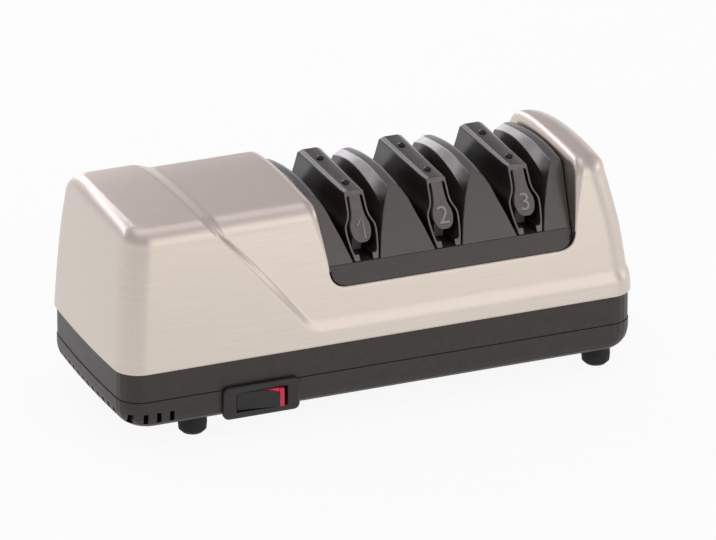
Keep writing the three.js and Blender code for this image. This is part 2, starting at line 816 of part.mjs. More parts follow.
const footPlaces = [leftFootX, rightFootX].flatMap((x) => [-1, 1]
  .map((side) => [x, side * (baseDepth / 2 - footInsetY)]));
const panScrewPlaces = [motorX - bracketOffset, endPedestalX].flatMap((x) => [-1, 1]
  .map((side) => [x, side * screwRowY]));

function basePan() {
  const stemHole = rod(footStemRadius + runningGap, overrun);
  const holes = [
    ...footPlaces.map(([x, y]) => stemHole.translate([x, y, panFloor - overrun / 2])),
    ...panScrewPlaces.map(([x, y]) => panScrewHole().translate([x, y, 0])),
  ];
  const [hatchHalf, hatchSide] = [hatchLength / 2, hatchWidth / 2];
  const hatch = box(hatchX - hatchHalf + hatchLedge, hatchX + hatchHalf - hatchLedge,
    hatchLedge - hatchSide, hatchSide - hatchLedge, footHeight - overrun, panFloor + overrun);
  const rebate = box(hatchX - hatchHalf - runningGap, hatchX + hatchHalf + runningGap,
    -hatchSide - runningGap, hatchSide + 2 * runningGap, footHeight - overrun, footHeight + baseWall / 2);
  const neckHalf = bezelWidth / 2 - bezelRim;
  const opening = box(switchX - neckHalf, switchX + neckHalf, -coverDepth, -baseDepth / 2 + 2 * baseWall,
    switchZ - switchOpeningHalf, seamHeight + overrun);
  const inlet = turnedAlongY([[0, 0], [inletRadius + runningGap, 0], [inletRadius + runningGap, overrun],
    [0, overrun]]).translate([inletX, baseDepth / 2 - overrun / 2, inletZ]);
  return cut(panSkin(0), [panSkin(baseWall), ...vents(), ...holes, hatch, rebate, opening, inlet]);
}

const switchZ = footHeight - bezelDrop + bezelHeight / 2;
const switchOpeningHalf = rockerHeight / 2 + runningGap;
const inletZ = panFloor + inletFlangeRadius - baseWall / 2;

function panScrewHole() {
  const seat = footHeight + panScrewHeadHeight + runningGap;
  return turned([[0, footHeight - overrun], [panScrewHeadRadius + runningGap, footHeight - overrun],
    [panScrewHeadRadius + runningGap, seat], [panScrewRadius + runningGap, seat],
    [panScrewRadius + runningGap, panFloor + overrun], [0, panFloor + overrun]], 16);
}

function panScrew() {
  const seat = footHeight + panScrewHeadHeight;
  const [head, tip] = [seat - panScrewHeadHeight, seat + panScrewLength];
  return turned([[0, head], [panScrewHeadRadius - runningGap, head], [panScrewHeadRadius, seat],
    [panScrewRadius, seat], [panScrewRadius, tip], [0, tip]], 16);
}

// The black band between pan and cover, with the beams that carry the drive
function chassis() {
  const ring = (inset, z) => planRing(baseLength - 2 * inset, baseDepth - 2 * inset,
    baseCorner - Math.min(inset, baseCorner / 2), endBow, z);
  const prism = (inset, z0, z1) => planLoft([ring(inset, z0), ring(inset, z1)]);
  const top = coverFoot - runningGap;
  const upperSpigot = coverWall - baseInset + 2 * runningGap;
  const lowerSpigot = baseWall + runningGap;
  const shell = union([
    prism(0, seamHeight, top),
    prism(upperSpigot, seamHeight, coverFoot + spigotHeight),
    prism(lowerSpigot, seamHeight - spigotHeight, coverFoot),
  ]);
  const hollow = prism(upperSpigot + spigotWall, seamHeight - overrun, coverFoot + overrun);
  const beamReach = baseDepth / 2 - baseWall;
  const beams = [motorX - bracketOffset, motorX + bracketOffset, endPedestalX].map((x) => box(
    x - beamWidth / 2, x + beamWidth / 2, -beamReach, beamReach, beamBottom, beamTop));
  const posts = panScrewPlaces.map(([x, y]) => rod(chassisPostRadius, beamTop - panFloor - runningGap, 16)
    .translate([x, y, panFloor + runningGap]));
  const pilot = rod(panScrewRadius + runningGap, panScrewLength + panScrewHeadHeight, 12);
  const pilots = panScrewPlaces.map(([x, y]) => pilot.translate([x, y, panFloor - panScrewHeadHeight / 2]));
  const pocketHalf = bezelWidth / 2 - bezelRim + runningGap;
  const switchPocket = box(switchX - pocketHalf, switchX + pocketHalf, -coverDepth,
    -baseDepth / 2 + switchBodyDepth + runningGap, footHeight, seamHeight);
  const inletPocket = turnedAlongY([[0, 0], [inletRadius + runningGap, 0], [inletRadius + runningGap, overrun],
    [0, overrun]]).translate([inletX, baseDepth / 2 - overrun / 2, inletZ]);
  return cut(union([shell.subtract(hollow), ...beams, ...posts]), [...pilots, switchPocket, inletPocket]);
}

function foot() {
  const stemTop = footHeight + footStemLength;
  return turned([[0, 0], [footRadius - footEdge, 0], [footRadius, footEdge],
    [footRadius + footBulge, footHeight / 2], [footRadius, footHeight], [footStemRadius, footHeight],
    [footStemRadius, stemTop], [0, stemTop]], 24);
}

// Switch

const bezelFaceY = -baseDepth / 2 - panProud - bezelProud;
const rockerPivotY = bezelFaceY + rockerThickness;

function switchBezel() {
  const half = bezelWidth / 2;
  const rim = roundedRectangle(switchX - half, switchX + half, switchZ - bezelHeight / 2,
    switchZ + bezelHeight / 2, bezelCorner);
  const plate = alongY(rim, bezelFaceY, -baseDepth / 2 - panProud - runningGap, 5);
  const neck = box(switchX - half + bezelRim + runningGap, switchX + half - bezelRim - runningGap,
    bezelFaceY + bezelProud / 2, -baseDepth / 2 + baseWall, switchZ - switchOpeningHalf + runningGap,
    seamHeight - runningGap);
  const wellHalf = rockerLength / 2 + runningGap;
  const well = box(switchX - wellHalf, switchX + wellHalf, -coverDepth, coverDepth,
    switchZ - rockerHeight / 2, switchZ + rockerHeight / 2);
  return plate.add(neck).subtract(well);
}

function switchBody() {
  const half = bezelWidth / 2 - bezelRim - 2 * runningGap;
  return box(switchX - half, switchX + half, -baseDepth / 2 + baseWall + runningGap,
    -baseDepth / 2 + switchBodyDepth - runningGap, panFloor + runningGap, seamHeight - runningGap);
}

// Top view of the rocker about its pivot
function rockerOutline(x0, x1, face, shoulder, back) {
  return polygon([[x0, face], [x1, face], [x1, shoulder], [x1 / 2, back], [x0 / 2, back], [x0, shoulder]]);
}

const rockerHalf = rockerLength / 2 - rockerThickness * Math.sin(THREE.MathUtils.degToRad(rockerTilt));
const rockerRise = rockerHeight / 2 - runningGap;

function rocker() {
  const face = -rockerThickness + rockerFaceThickness;
  const outline = rockerOutline(-rockerHalf, rockerHalf, face, face / 2, face / 3);
  const bar = box(rockerHalf - rockerFaceInset, rockerHalf, -rockerThickness, face / 2,
    -rockerRise, rockerRise);
  return alongZ(outline, -rockerRise, rockerRise).add(bar);
}

function rockerFace() {
  return box(-rockerHalf, rockerHalf - rockerFaceInset, -rockerThickness,
    -rockerThickness + rockerFaceThickness, -rockerRise, rockerRise);
}

// Drive

function place(body, x) {
  return body.translate([x, 0, axisHeight]);
}

function shaft() {
  const length = endPedestalX + bushLength / 2 + shaftOverhang - fanX;
  return place(turnedAlongX([[0, 0], [shaftRadius, 0], [shaftRadius, length], [0, length]], 24), fanX);
}

function bush(x) {
  const inner = shaftRadius + bearingGap;
  const outer = inner + bushWall;
  return place(turnedAlongX([[inner, 0], [outer, 0], [outer, bushLength], [inner, bushLength], [inner, 0]]),
    x - bushLength / 2);
}

const bushSeat = shaftRadius + bearingGap + bushWall + runningGap;

function stator() {
  const half = statorSize / 2;
  const shape = roundedRectangle(-half, half, axisHeight - half, axisHeight + half, statorCorner);
  const bore = new THREE.Path();
  bore.absarc(0, axisHeight, rotorRadius + airGap, 0, 2 * Math.PI);
  shape.holes.push(bore);
  return alongX(shape, motorX - statorLength / 2, motorX + statorLength / 2, 8);
}

function rotor() {
  const bore = shaftRadius + bearingGap;
  return place(turnedAlongX([[bore, 0], [rotorRadius, 0], [rotorRadius, statorLength], [bore, statorLength],
    [bore, 0]]), motorX - statorLength / 2);
}

function coil(side) {
  const start = statorLength / 2 + runningGap;
  const inner = coilRadius - coilWidth;
  const bevel = coilWidth / 4;
  const shoulder = coilLength - bevel;
  const ring = turnedAlongX([[inner, 0], [coilRadius, 0], [coilRadius, shoulder],
    [coilRadius - bevel, coilLength], [inner + bevel, coilLength], [inner, shoulder], [inner, 0]], 28);
  const facing = side > 0 ? ring : ring.mirror([1, 0, 0]);
  return place(facing, motorX + side * start);
}

// An end bracket with the shaft bush in its middle and four posts to the stator
function motorBracket(side) {
  const x = motorX + side * bracketOffset;
  const half = statorSize / 2;
  const floor = beamTop + runningGap;
  const postRise = axisHeight - floor - bracketPostRadius;
  const shape = roundedRectangle(-half, half, floor, 2 * axisHeight - floor, bracketPostRadius);
  const bore = new THREE.Path();
  bore.absarc(0, axisHeight, bushSeat, 0, 2 * Math.PI);
  shape.holes.push(bore);
  for (const turn of [-1, 1]) {
    const window = new THREE.Path();
    window.absarc(turn * half / 2, axisHeight, bracketWindowRadius, 0, 2 * Math.PI);
    shape.holes.push(window);
  }
  const plate = alongX(shape, x - bracketThickness / 2, x + bracketThickness / 2, 8);
  const reach = bracketOffset - statorLength / 2 - runningGap;
  const start = side > 0 ? motorX + statorLength / 2 + runningGap : x;
  const posts = [[-1, -1], [-1, 1], [1, -1], [1, 1]].map(([sy, sz]) => rod(bracketPostRadius, reach, 12)
    .rotate([0, 90, 0]).translate([start, sy * (half - bracketPostRadius), axisHeight + sz * postRise]));
  return union([plate, ...posts]);
}

function endPedestal() {
  const x0 = endPedestalX - bracketThickness / 2;
  const shape = new THREE.Shape();
  shape.moveTo(-pedestalFootHalf, beamTop + runningGap);
  shape.lineTo(pedestalFootHalf, beamTop + runningGap);
  shape.lineTo(pedestalHeadRadius, axisHeight);
  shape.absarc(0, axisHeight, pedestalHeadRadius, 0, Math.PI);
  shape.closePath();
  const bore = new THREE.Path();
  bore.absarc(0, axisHeight, bushSeat, 0, 2 * Math.PI);
  shape.holes.push(bore);
  return alongX(shape, x0, x0 + bracketThickness, 10);
}

function fan() {
  const inner = shaftRadius + bearingGap;
  const ring = (radius, length, segments) => turnedAlongX([[inner, 0], [radius, 0], [radius, length],
    [inner, length], [inner, 0]], segments);
  const [hub, plate] = [ring(fanHubRadius, fanLength, 24), ring(fanRadius, fanPlate, 32)];
  const blades = [];
  for (let i = 0; i < fanBladeCount; i++) {
    blades.push(box(0, fanLength, -fanBladeThickness / 2, fanBladeThickness / 2, fanHubRadius - fanPlate,
      fanRadius - fanPlate).rotate([(360 * i) / fanBladeCount, 0, 0]));
  }
  return place(union([plate, hub, ...blades]), fanX);
}

// A dished abrasive disk: its rim leans in, away from the knife
function disk(side) {
  const bore = shaftRadius + bearingGap;
  const rear = -diskThickness;
  const hubEnd = rear - diskHubLength / 2;
  const profile = [[bore, 0], [diskHubRadius, 0], [diskRadius, -diskDish], [diskRadius, rear - diskDish],
    [diskHubRadius, rear], [diskHubRadius, hubEnd], [bore, hubEnd], [bore, 0]];
  const body = turnedAlongX(profile, 36);
  return side > 0 ? body : body.mirror([1, 0, 0]);
}

// The spring that pushes a pair of disks apart, one unbroken wire
function diskSpring(x) {
  const length = 2 * (diskOffset - diskThickness - diskHubLength / 2 - runningGap) - springWire;
  const curve = new (class extends THREE.Curve {
    getPoint(t, target = new THREE.Vector3()) {
      const angle = 2 * Math.PI * springTurns * t;
      return target.set(x - length / 2 + length * t, springRadius * Math.cos(angle),
        axisHeight + springRadius * Math.sin(angle));
    }
  })();
  const wire = new THREE.Shape();
  wire.absarc(0, 0, springWire / 2, 0, 2 * Math.PI);
  const steps = springTurns * 12;
  const geometry = new THREE.ExtrudeGeometry(wire, { steps, extrudePath: curve, curveSegments: 3 });
  return solid(outward(mergeVertices(withoutExtras(geometry))));
}

// Clean-out cover and its magnet

function hatchCover() {
  const plate = box(hatchX - hatchLength / 2, hatchX + hatchLength / 2, -hatchWidth / 2, hatchWidth / 2,
    footHeight, footHeight + baseWall / 2 - runningGap);
  const half = hatchLength / 2 - hatchLedge - runningGap;
  const plug = box(hatchX - half, hatchX + half, -hatchWidth / 2 + hatchLedge + runningGap,
    hatchWidth / 2 - 2 * hatchLedge, footHeight, panFloor);
  const grip = box(hatchX - hatchLatchWidth / 2, hatchX + hatchLatchWidth / 2, -hatchWidth / 2 + hatchLedge,
    -hatchWidth / 2 + 2 * hatchLedge, footHeight - overrun, footHeight + baseWall / 4);
  return plate.add(plug).subtract(grip);
}

function hatchMagnet() {
  const z0 = panFloor + runningGap;
  return box(hatchX - magnetLength / 2, hatchX + magnetLength / 2, -magnetWidth / 2, magnetWidth / 2,
    z0, z0 + magnetHeight);
}

function cordInlet() {
  const flangeY = baseDepth / 2 + panProud + runningGap;
  const depth = baseWall + 2 * inletFlange;
  const end = depth + inletFlange;
  return turnedAlongY([[inletBoreRadius, 0], [inletRadius, 0], [inletRadius, depth],
    [inletFlangeRadius, depth], [inletFlangeRadius - inletFlange / 2, end], [inletBoreRadius, end],
    [inletBoreRadius, 0]]).translate([inletX, flangeY - depth, inletZ]);
}

// Assembly

const sharpener = new THREE.Group();
const frame = new THREE.Group();
sharpener.add(frame);

function addTo(group, name, body, finish) {
  const mesh = new THREE.Mesh(geometryOf(body), new THREE.MeshStandardMaterial(finishes[finish]));
  mesh.name = name;
  group.add(mesh);
  return mesh;
}

const add = (name, body, finish) => addTo(frame, name, body, finish);

add('top_cover', topCover(), 'satinMetal');
add('guide_deck', guideDeck(), 'deckPlastic');
stageXs.forEach((x, i) => {
  const stage = `stage_${i + 1}`;
  add(`${stage}_spring_guide`, springGuide(x), 'guidePlastic');
  add(`${stage}_guide_core`, guideCore(x), 'corePlastic');
  add(`${stage}_screw_front`, guideScrew().translate([x, guideScrewFrontY, 0]), 'steel');
  add(`${stage}_screw_back`, guideScrew().translate([x, guideScrewBackY, 0]), 'steel');
  add(`${stage}_disk_left`, place(disk(-1), x - diskOffset), 'diamond');
  add(`${stage}_disk_right`, place(disk(1), x + diskOffset), 'diamond');
  add(`${stage}_disk_spring`, diskSpring(x), 'steel');
});
add('chassis', chassis(), 'blackPlastic');
add('base_pan', basePan(), 'blackPlastic');
footPlaces.forEach(([x, y], i) => {
  const name = ['left_front', 'left_back', 'right_front', 'right_back'][i];
  add(`foot_${name}`, foot().translate([x, y, 0]), 'rubber');
});
panScrewPlaces.forEach(([x, y], i) => {
  const name = ['left_front', 'left_back', 'right_front', 'right_back'][i];
  add(`pan_screw_${name}`, panScrew().translate([x, y, 0]), 'steel');
});
add('switch_bezel', switchBezel(), 'blackPlastic');
add('switch_body', switchBody(), 'blackPlastic');
add('cord_inlet', cordInlet(), 'rubber');
add('cleanout_cover', hatchCover(), 'blackPlastic');
add('cleanout_magnet', hatchMagnet(), 'ferrite');

const pivot = new THREE.Group();
pivot.position.set(switchX, rockerPivotY, switchZ);
pivot.rotation.z = THREE.MathUtils.degToRad(-rockerTilt);
frame.add(pivot);
addTo(pivot, 'switch_rocker', rocker(), 'redPlastic');
addTo(pivot, 'switch_rocker_face', rockerFace(), 'blackPlastic');

add('drive_shaft', shaft(), 'steel');
add('motor_stator', stator(), 'laminations');
add('motor_rotor', rotor(), 'laminations');
add('motor_coil_left', coil(-1), 'copper');
add('motor_coil_right', coil(1), 'copper');
add('motor_bracket_left', motorBracket(-1), 'steel');
add('motor_bracket_right', motorBracket(1), 'steel');
add('motor_bush_left', bush(motorX - bracketOffset), 'bronze');
add('motor_bush_right', bush(motorX + bracketOffset), 'bronze');
add('end_pedestal', endPedestal(), 'whiteNylon');
add('end_bush', bush(endPedestalX), 'bronze');
add('cooling_fan', fan(), 'whiteNylon');

const extent = new THREE.Box3().setFromObject(frame);
frame.position.y = -(extent.min.y + extent.max.y) / 2;

export default sharpener;
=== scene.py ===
import json
import math

import bmesh
import bpy
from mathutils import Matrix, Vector


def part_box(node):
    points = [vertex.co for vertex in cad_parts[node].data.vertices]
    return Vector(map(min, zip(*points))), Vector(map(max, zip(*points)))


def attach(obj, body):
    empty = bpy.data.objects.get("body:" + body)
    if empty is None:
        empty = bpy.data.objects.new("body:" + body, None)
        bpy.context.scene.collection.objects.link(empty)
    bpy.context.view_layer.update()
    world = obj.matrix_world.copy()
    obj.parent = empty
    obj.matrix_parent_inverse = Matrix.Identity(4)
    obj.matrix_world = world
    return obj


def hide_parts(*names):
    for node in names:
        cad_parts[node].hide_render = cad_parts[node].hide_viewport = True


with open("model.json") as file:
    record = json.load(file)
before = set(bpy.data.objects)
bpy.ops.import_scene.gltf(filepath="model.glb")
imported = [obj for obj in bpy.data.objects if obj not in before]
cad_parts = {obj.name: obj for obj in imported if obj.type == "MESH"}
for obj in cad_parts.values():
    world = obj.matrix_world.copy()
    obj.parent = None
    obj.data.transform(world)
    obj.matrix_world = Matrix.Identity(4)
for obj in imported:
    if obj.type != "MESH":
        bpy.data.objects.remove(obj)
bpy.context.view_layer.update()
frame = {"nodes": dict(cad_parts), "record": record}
nodes = frame["nodes"]
scene = bpy.context.scene
MM = 0.001
QUARTER = math.pi / 2

# The pieces are drawn in millimetres, x to the right, y to the back, about the middle of the cover
COVER_LOW, COVER_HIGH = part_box("top_cover")
HALF_DEPTH = (COVER_HIGH.y - COVER_LOW.y) / MM / 2
SHIFT_Y = (COVER_HIGH.y + COVER_LOW.y) / 2
END_BOW = 1.8
HALF_LENGTH = (COVER_HIGH.x - COVER_LOW.x) / MM / 2 - END_BOW
FOOT_Z, TOP_Z = COVER_LOW.z / MM, COVER_HIGH.z / MM


# Camera
def camera():
    """Looks at the object as in the photograph; angles in degrees, distances in metres."""
    azimuth, elevation, distance = math.radians(-22.31), math.radians(23.58), 3.697
    target = Vector((0.00744, SHIFT_Y, 0.04905))
    back = Vector((math.sin(azimuth) * math.cos(elevation), -math.cos(azimuth) * math.cos(elevation),
                   math.sin(elevation)))
    obj = bpy.data.objects.new("camera", bpy.data.cameras.new("camera"))
    scene.collection.objects.link(obj)
    obj.data.sensor_width = 36
    obj.data.lens = 402.2
    obj.data.clip_start, obj.data.clip_end = 0.1, 100
    obj.location = target + back * distance
    obj.rotation_mode = "QUATERNION"
    obj.rotation_quaternion = (-back).to_track_quat("-Z", "Y")
    scene.camera = obj
    scene.view_settings.view_transform = "Standard"


# Lights
def lamp(name, place, size, power, color):
    """A rectangular lamp that faces the object. Its place is in metres, its power in watts."""
    data = bpy.data.lights.new(name, "AREA")
    data.shape = "RECTANGLE"
    data.size, data.size_y = size
    data.energy = power
    data.color = color
    obj = bpy.data.objects.new(name, data)
    obj.location = place
    obj.rotation_mode = "QUATERNION"
    obj.rotation_quaternion = (Vector((0, 0, 0.06)) - Vector(place)).to_track_quat("-Z", "Y")
    scene.collection.objects.link(obj)


def add_node(tree, kind, *sources, **settings):
    """Adds a shader node, sets its options and joins the sources to its first sockets."""
    node = tree.nodes.new(kind)
    for key, value in settings.items():
        setattr(node, key, value)
    for socket, source in zip(node.inputs, sources):
        if isinstance(source, (int, float, tuple)):
            socket.default_value = source
        else:
            tree.links.new(source, socket)
    return node


def seen(tree):
    """1 for what is seen by the camera, straight, through something or in a reflection, else 0."""
    kinds = add_node(tree, "ShaderNodeLightPath").outputs
    rays = kinds["Is Camera Ray"]
    for kind in ("Is Glossy Ray", "Is Transmission Ray"):
        rays = add_node(tree, "ShaderNodeMath", rays, kinds[kind], operation="ADD", use_clamp=True).outputs[0]
    return rays


def surroundings():
    """White behind the object and in its reflections, and a soft grey room that lights it."""
    world = bpy.data.worlds.new("world")
    scene.world = world
    world.use_nodes = True
    tree = world.node_tree
    tree.nodes.clear()
    room = add_node(tree, "ShaderNodeBackground", (0.97, 0.95, 1.0, 1), 0.5)
    # White at the height of the object, greyer above it
    way = add_node(tree, "ShaderNodeSeparateXYZ", add_node(tree, "ShaderNodeTexCoord").outputs["Generated"])
    fall = add_node(tree, "ShaderNodeValToRGB", way.outputs[2])
    low, high = fall.color_ramp.elements
    low.position, high.position = 0.04, 0.3
    low.color, high.color = (1, 1, 1, 1), (0.58, 0.55, 0.59, 1)
    plain = add_node(tree, "ShaderNodeBackground", fall.outputs[0])
    join = add_node(tree, "ShaderNodeMixShader", seen(tree), room.outputs[0], plain.outputs[0])
    add_node(tree, "ShaderNodeOutputWorld", join.outputs[0])


camera()
lamp("key_light", (0.8, -1.7, 0.85), (1.3, 0.8), 4, (1.0, 0.95, 0.88))
lamp("top_light", (0.0, 0.1, 1.8), (1.6, 1.4), 5, (1.0, 0.97, 1.0))
lamp("back_strip", (0.13, 1.38, 0.57), (0.25, 0.9), 2.3, (0.97, 0.93, 1.0))
lamp("left_strip", (-0.63, 1.07, 0.87), (1.3, 0.2), 3.0, (0.97, 0.93, 1.0))
lamp("right_strip", (1.55, -0.05, 0.42), (0.8, 0.25), 1.5, (1.0, 0.97, 0.95))
lamp("front_light", (0.65, -1.55, 0.12), (1.3, 0.2), 1, (1.0, 0.95, 0.88))
surroundings()


# Materials
class Maker:
    """Builds a node material step by step."""

    # The part of a noise between which its values lie almost always
    NOISE_LOW, NOISE_HIGH = 0.3, 0.7

    def __init__(self, name, color, roughness, metallic=0.0):
        self.material = bpy.data.materials.new(name)
        self.material.use_nodes = True
        self.tree = self.material.node_tree
        self.shader = self.tree.nodes["Principled BSDF"]
        self.set("Base Color", (*color, 1))
        self.set("Roughness", roughness)
        self.set("Metallic", metallic)
        self.place = self.node("ShaderNodeTexCoord").outputs["Object"]

    def set(self, name, value):
        """Sets an input of the shader."""
        self.shader.inputs[name].default_value = value

    def node(self, kind, *sources, **settings):
        """Adds a node to the material."""
        return add_node(self.tree, kind, *sources, **settings)

    def noise(self, scale, detail=4, source=None):
        """A noise over the object's own coordinates, in waves to the metre, or over another source."""
        node = self.node("ShaderNodeTexNoise")
        node.inputs["Scale"].default_value = scale
        node.inputs["Detail"].default_value = detail
        self.tree.links.new(source or self.place, node.inputs["Vector"])
        return node.outputs["Fac"]

    def colors(self, source, dark, light):
        """Base colour between two colours, by a noise."""
        node = self.node("ShaderNodeValToRGB", source)
        low, high = node.color_ramp.elements
        low.position, high.position = self.NOISE_LOW, self.NOISE_HIGH
        low.color, high.color = (*dark, 1), (*light, 1)
        self.tree.links.new(node.outputs[0], self.shader.inputs["Base Color"])

    def rough(self, source, low, high):
        """Roughness between two values, by a noise."""
        node = self.node("ShaderNodeMapRange", source, self.NOISE_LOW, self.NOISE_HIGH, low, high)
        self.tree.links.new(node.outputs[0], self.shader.inputs["Roughness"])

    def bump(self, source, strength, distance):
        """Relief by a noise; its distance is in metres."""
        node = self.node("ShaderNodeBump")
        node.inputs["Strength"].default_value = strength
        node.inputs["Distance"].default_value = distance
        self.tree.links.new(source, node.inputs["Height"])
        self.tree.links.new(node.outputs[0], self.shader.inputs["Normal"])


def shade(value):
    """Linear value of a written screen value from 0 to 255."""
    v = value / 255
    return v / 12.92 if v <= 0.04045 else ((v + 0.055) / 1.055) ** 2.4


def rgb(r, g, b):
    """Linear colour of written screen values."""
    return shade(r), shade(g), shade(b)


def brushed_metal():
    """Steel brushed lengthwise: fine lines along the sides and along the length of the top."""
    m = Maker("brushed_metal", rgb(208, 198, 188), 0.36, 1.0)
    normal = m.node("ShaderNodeNewGeometry").outputs["Normal"]
    split = m.node("ShaderNodeSeparateXYZ", m.place)
    facing = m.node("ShaderNodeSeparateXYZ", normal)
    along = m.node("ShaderNodeMath", split.outputs[0], split.outputs[1], operation="ADD")
    level = m.node("ShaderNodeMath", facing.outputs[2], facing.outputs[2], operation="MULTIPLY")
    across = m.node("ShaderNodeMath", split.outputs[1], level.outputs[0], operation="MULTIPLY")
    spot = m.node("ShaderNodeCombineXYZ", along.outputs[0], across.outputs[0], split.outputs[2])
    # Lines about 15 mm long and less than half a millimetre apart
    stretch = m.node("ShaderNodeVectorMath", spot.outputs[0], (60.0, 2600.0, 2600.0), operation="MULTIPLY")
    lines = m.noise(1.0, 8, stretch.outputs[0])
    m.colors(lines, rgb(204, 194, 184), rgb(213, 203, 194))
    m.rough(lines, 0.36, 0.42)
    m.bump(lines, 0.05, 0.00003)
    brush = m.node("ShaderNodeVectorMath", (0.0, 0.25, 1.0), normal, operation="CROSS_PRODUCT")
    m.set("Anisotropic", 0.6)
    m.set("Anisotropic Rotation", 0.25)
    m.tree.links.new(brush.outputs[0], m.shader.inputs["Tangent"])
    return m.material


def plastic(name, dark, light, roughness, grain=0.15, depth=0.00006, gloss=0.5):
    """Moulded plastic with a fine grain; depth is in metres."""
    m = Maker(name, dark, roughness)
    m.colors(m.noise(300), dark, light)
    m.rough(m.noise(900), roughness * 0.92, roughness * 1.1)
    m.bump(m.noise(2400, 3), grain, depth)
    m.set("Specular IOR Level", gloss)
    return m.material


def bare_metal(name, dark, light, roughness):
    """Turned, stamped or wound metal."""
    m = Maker(name, dark, roughness, 1.0)
    m.colors(m.noise(500), dark, light)
    m.rough(m.noise(900), roughness - 0.05, roughness + 0.08)
    m.bump(m.noise(1500, 2), 0.08, 0.0001)
    return m.material


looks = {
    "cover_metal": brushed_metal(),
    "deck_plastic": plastic("deck_plastic", rgb(44, 39, 33), rgb(51, 46, 39), 0.24, 0.02, depth=0.00001,
                            gloss=0.95),
    # Painted shade: a darker copy of the deck plastic for the floor between the humps, standing in for the
    # shade that falls there
    "deck_painted_shade": plastic("deck_painted_shade", rgb(20, 19, 19), rgb(27, 26, 25), 0.6),
    "guide_plastic": plastic("guide_plastic", rgb(36, 30, 29), rgb(44, 38, 36), 0.2, 0.02, depth=0.00001,
                             gloss=0.55),
    # Painted light: a lighter copy of the guide plastic for the cut fronts of the guides, where the light
    # falls on them
    "guide_front_painted_light": plastic("guide_front_painted_light", rgb(104, 99, 95), rgb(118, 112, 108), 0.35, 0.05, depth=0.00002),
    "core_plastic": plastic("core_plastic", rgb(96, 91, 88), rgb(110, 104, 101), 0.42, 0.05, depth=0.00002),
    "black_plastic": plastic("black_plastic", rgb(41, 34, 30), rgb(50, 43, 38), 0.42, 0.1),
    "rubber": plastic("rubber", rgb(22, 21, 21), rgb(32, 31, 31), 0.8),
    "rocker_red": plastic("rocker_red", rgb(222, 42, 74), rgb(236, 56, 88), 0.3),
    "steel": bare_metal("steel", rgb(150, 152, 156), rgb(180, 182, 186), 0.3),
    "bracket_steel": bare_metal("bracket_steel", rgb(160, 162, 160), rgb(190, 192, 190), 0.42),
    "abrasive": bare_metal("abrasive", rgb(96, 98, 100), rgb(140, 142, 146), 0.6),
    "laminations": bare_metal("laminations", rgb(90, 92, 96), rgb(112, 114, 118), 0.55),
    "copper": bare_metal("copper", rgb(168, 96, 52), rgb(196, 118, 66), 0.4),
    "bronze": bare_metal("bronze", rgb(150, 118, 70), rgb(172, 138, 86), 0.5),
    "nylon": plastic("nylon", rgb(206, 202, 192), rgb(222, 219, 210), 0.5),
    "ferrite": plastic("ferrite", rgb(46, 48, 50), rgb(64, 66, 68), 0.6),
    "frame_black": plastic("frame_black", rgb(24, 20, 18), rgb(32, 27, 25), 0.4, 0.08),
    "screw_black": bare_metal("screw_black", rgb(44, 42, 44), rgb(60, 58, 60), 0.3),
    "rocker_black": plastic("rocker_black", rgb(13, 13, 12), rgb(20, 19, 18), 0.5, 0.06),
    "numeral": plastic("numeral", rgb(150, 145, 140), rgb(163, 158, 152), 0.35, 0.05),
}
# The record's slot of each look that isn't a slot of its own
node_slots = {part["node"]: part["material_slot"] for part in frame["record"]["subparts"]}
for name, obj in nodes.items():
    obj.data.materials.clear()
    obj.data.materials.append(looks[node_slots[name]])


# Meshes
def place(point):
    """A drawn point in metres, in the frame of the part."""
    return point[0] * MM, point[1] * MM + SHIFT_Y, point[2] * MM


class Sheet:
    """Points in millimetres and the faces between them."""

    def __init__(self):
        self.points, self.faces = [], []

    def row(self, points):
        """Adds points and returns their numbers."""
        start = len(self.points)
        self.points.extend(points)
        return list(range(start, len(self.points)))

    def strip(self, first, second, closed=False):
        """Faces between two rows of equal length."""
        count = len(first)
        for i in range(count if closed else count - 1):
            j = (i + 1) % count
            self.faces.append((first[i], first[j], second[j], second[i]))

    def strips(self, rows, closed=False):
        """Faces between each row and the next."""
        for first, second in zip(rows, rows[1:]):
            self.strip(first, second, closed)

    def loft(self, rings):
        """A solid through closed outlines with equally many points."""
        rows = [self.row(ring) for ring in rings]
        self.strips(rows, closed=True)
        self.faces.extend([tuple(rows[0]), tuple(rows[-1])])

    def piece(self, name, look, body, stands_for=(), crease=40, weld=0.002):
        """One object of the sheet, its double points joined, riding on a body.

        Edges sharper than crease degrees stay sharp; points within weld millimetres are joined."""
        mesh = bpy.data.meshes.new(name)
        mesh.from_pydata([place(p) for p in self.points], [], self.faces)
        work = bmesh.new()
        work.from_mesh(mesh)
        bmesh.ops.remove_doubles(work, verts=work.verts, dist=weld * MM)
        bmesh.ops.recalc_face_normals(work, faces=work.faces)
        work.to_mesh(mesh)
        work.free()
        mesh.shade_smooth()
        mesh.set_sharp_from_angle(angle=math.radians(crease))
        mesh.materials.append(looks[look])
        obj = bpy.data.objects.new(name, mesh)
        scene.collection.objects.link(obj)
        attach(obj, body)
        if stands_for:
            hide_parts(*stands_for)
        return obj


def bevel(obj, width, segments=3, angle=30):
    """Rounds the edges of a piece, its flat faces kept flat."""
    modifier = obj.modifiers.new("bevel", "BEVEL")
    modifier.width = width * MM
    modifier.segments = segments
    modifier.limit_method = "ANGLE"
    modifier.angle_limit = math.radians(angle)
    modifier.harden_normals = True


def mix(a, b, share):
    """The value at a share of the way from a to b."""
    return a + (b - a) * share


def spread(a, b, count):
    """Count steps from a to b, with a and without b."""
    return [mix(a, b, i / count) for i in range(count)]


def quarter(count):
    """Angles from 0 to a right angle in count steps, with both."""
    return [i / count * QUARTER for i in range(count + 1)]


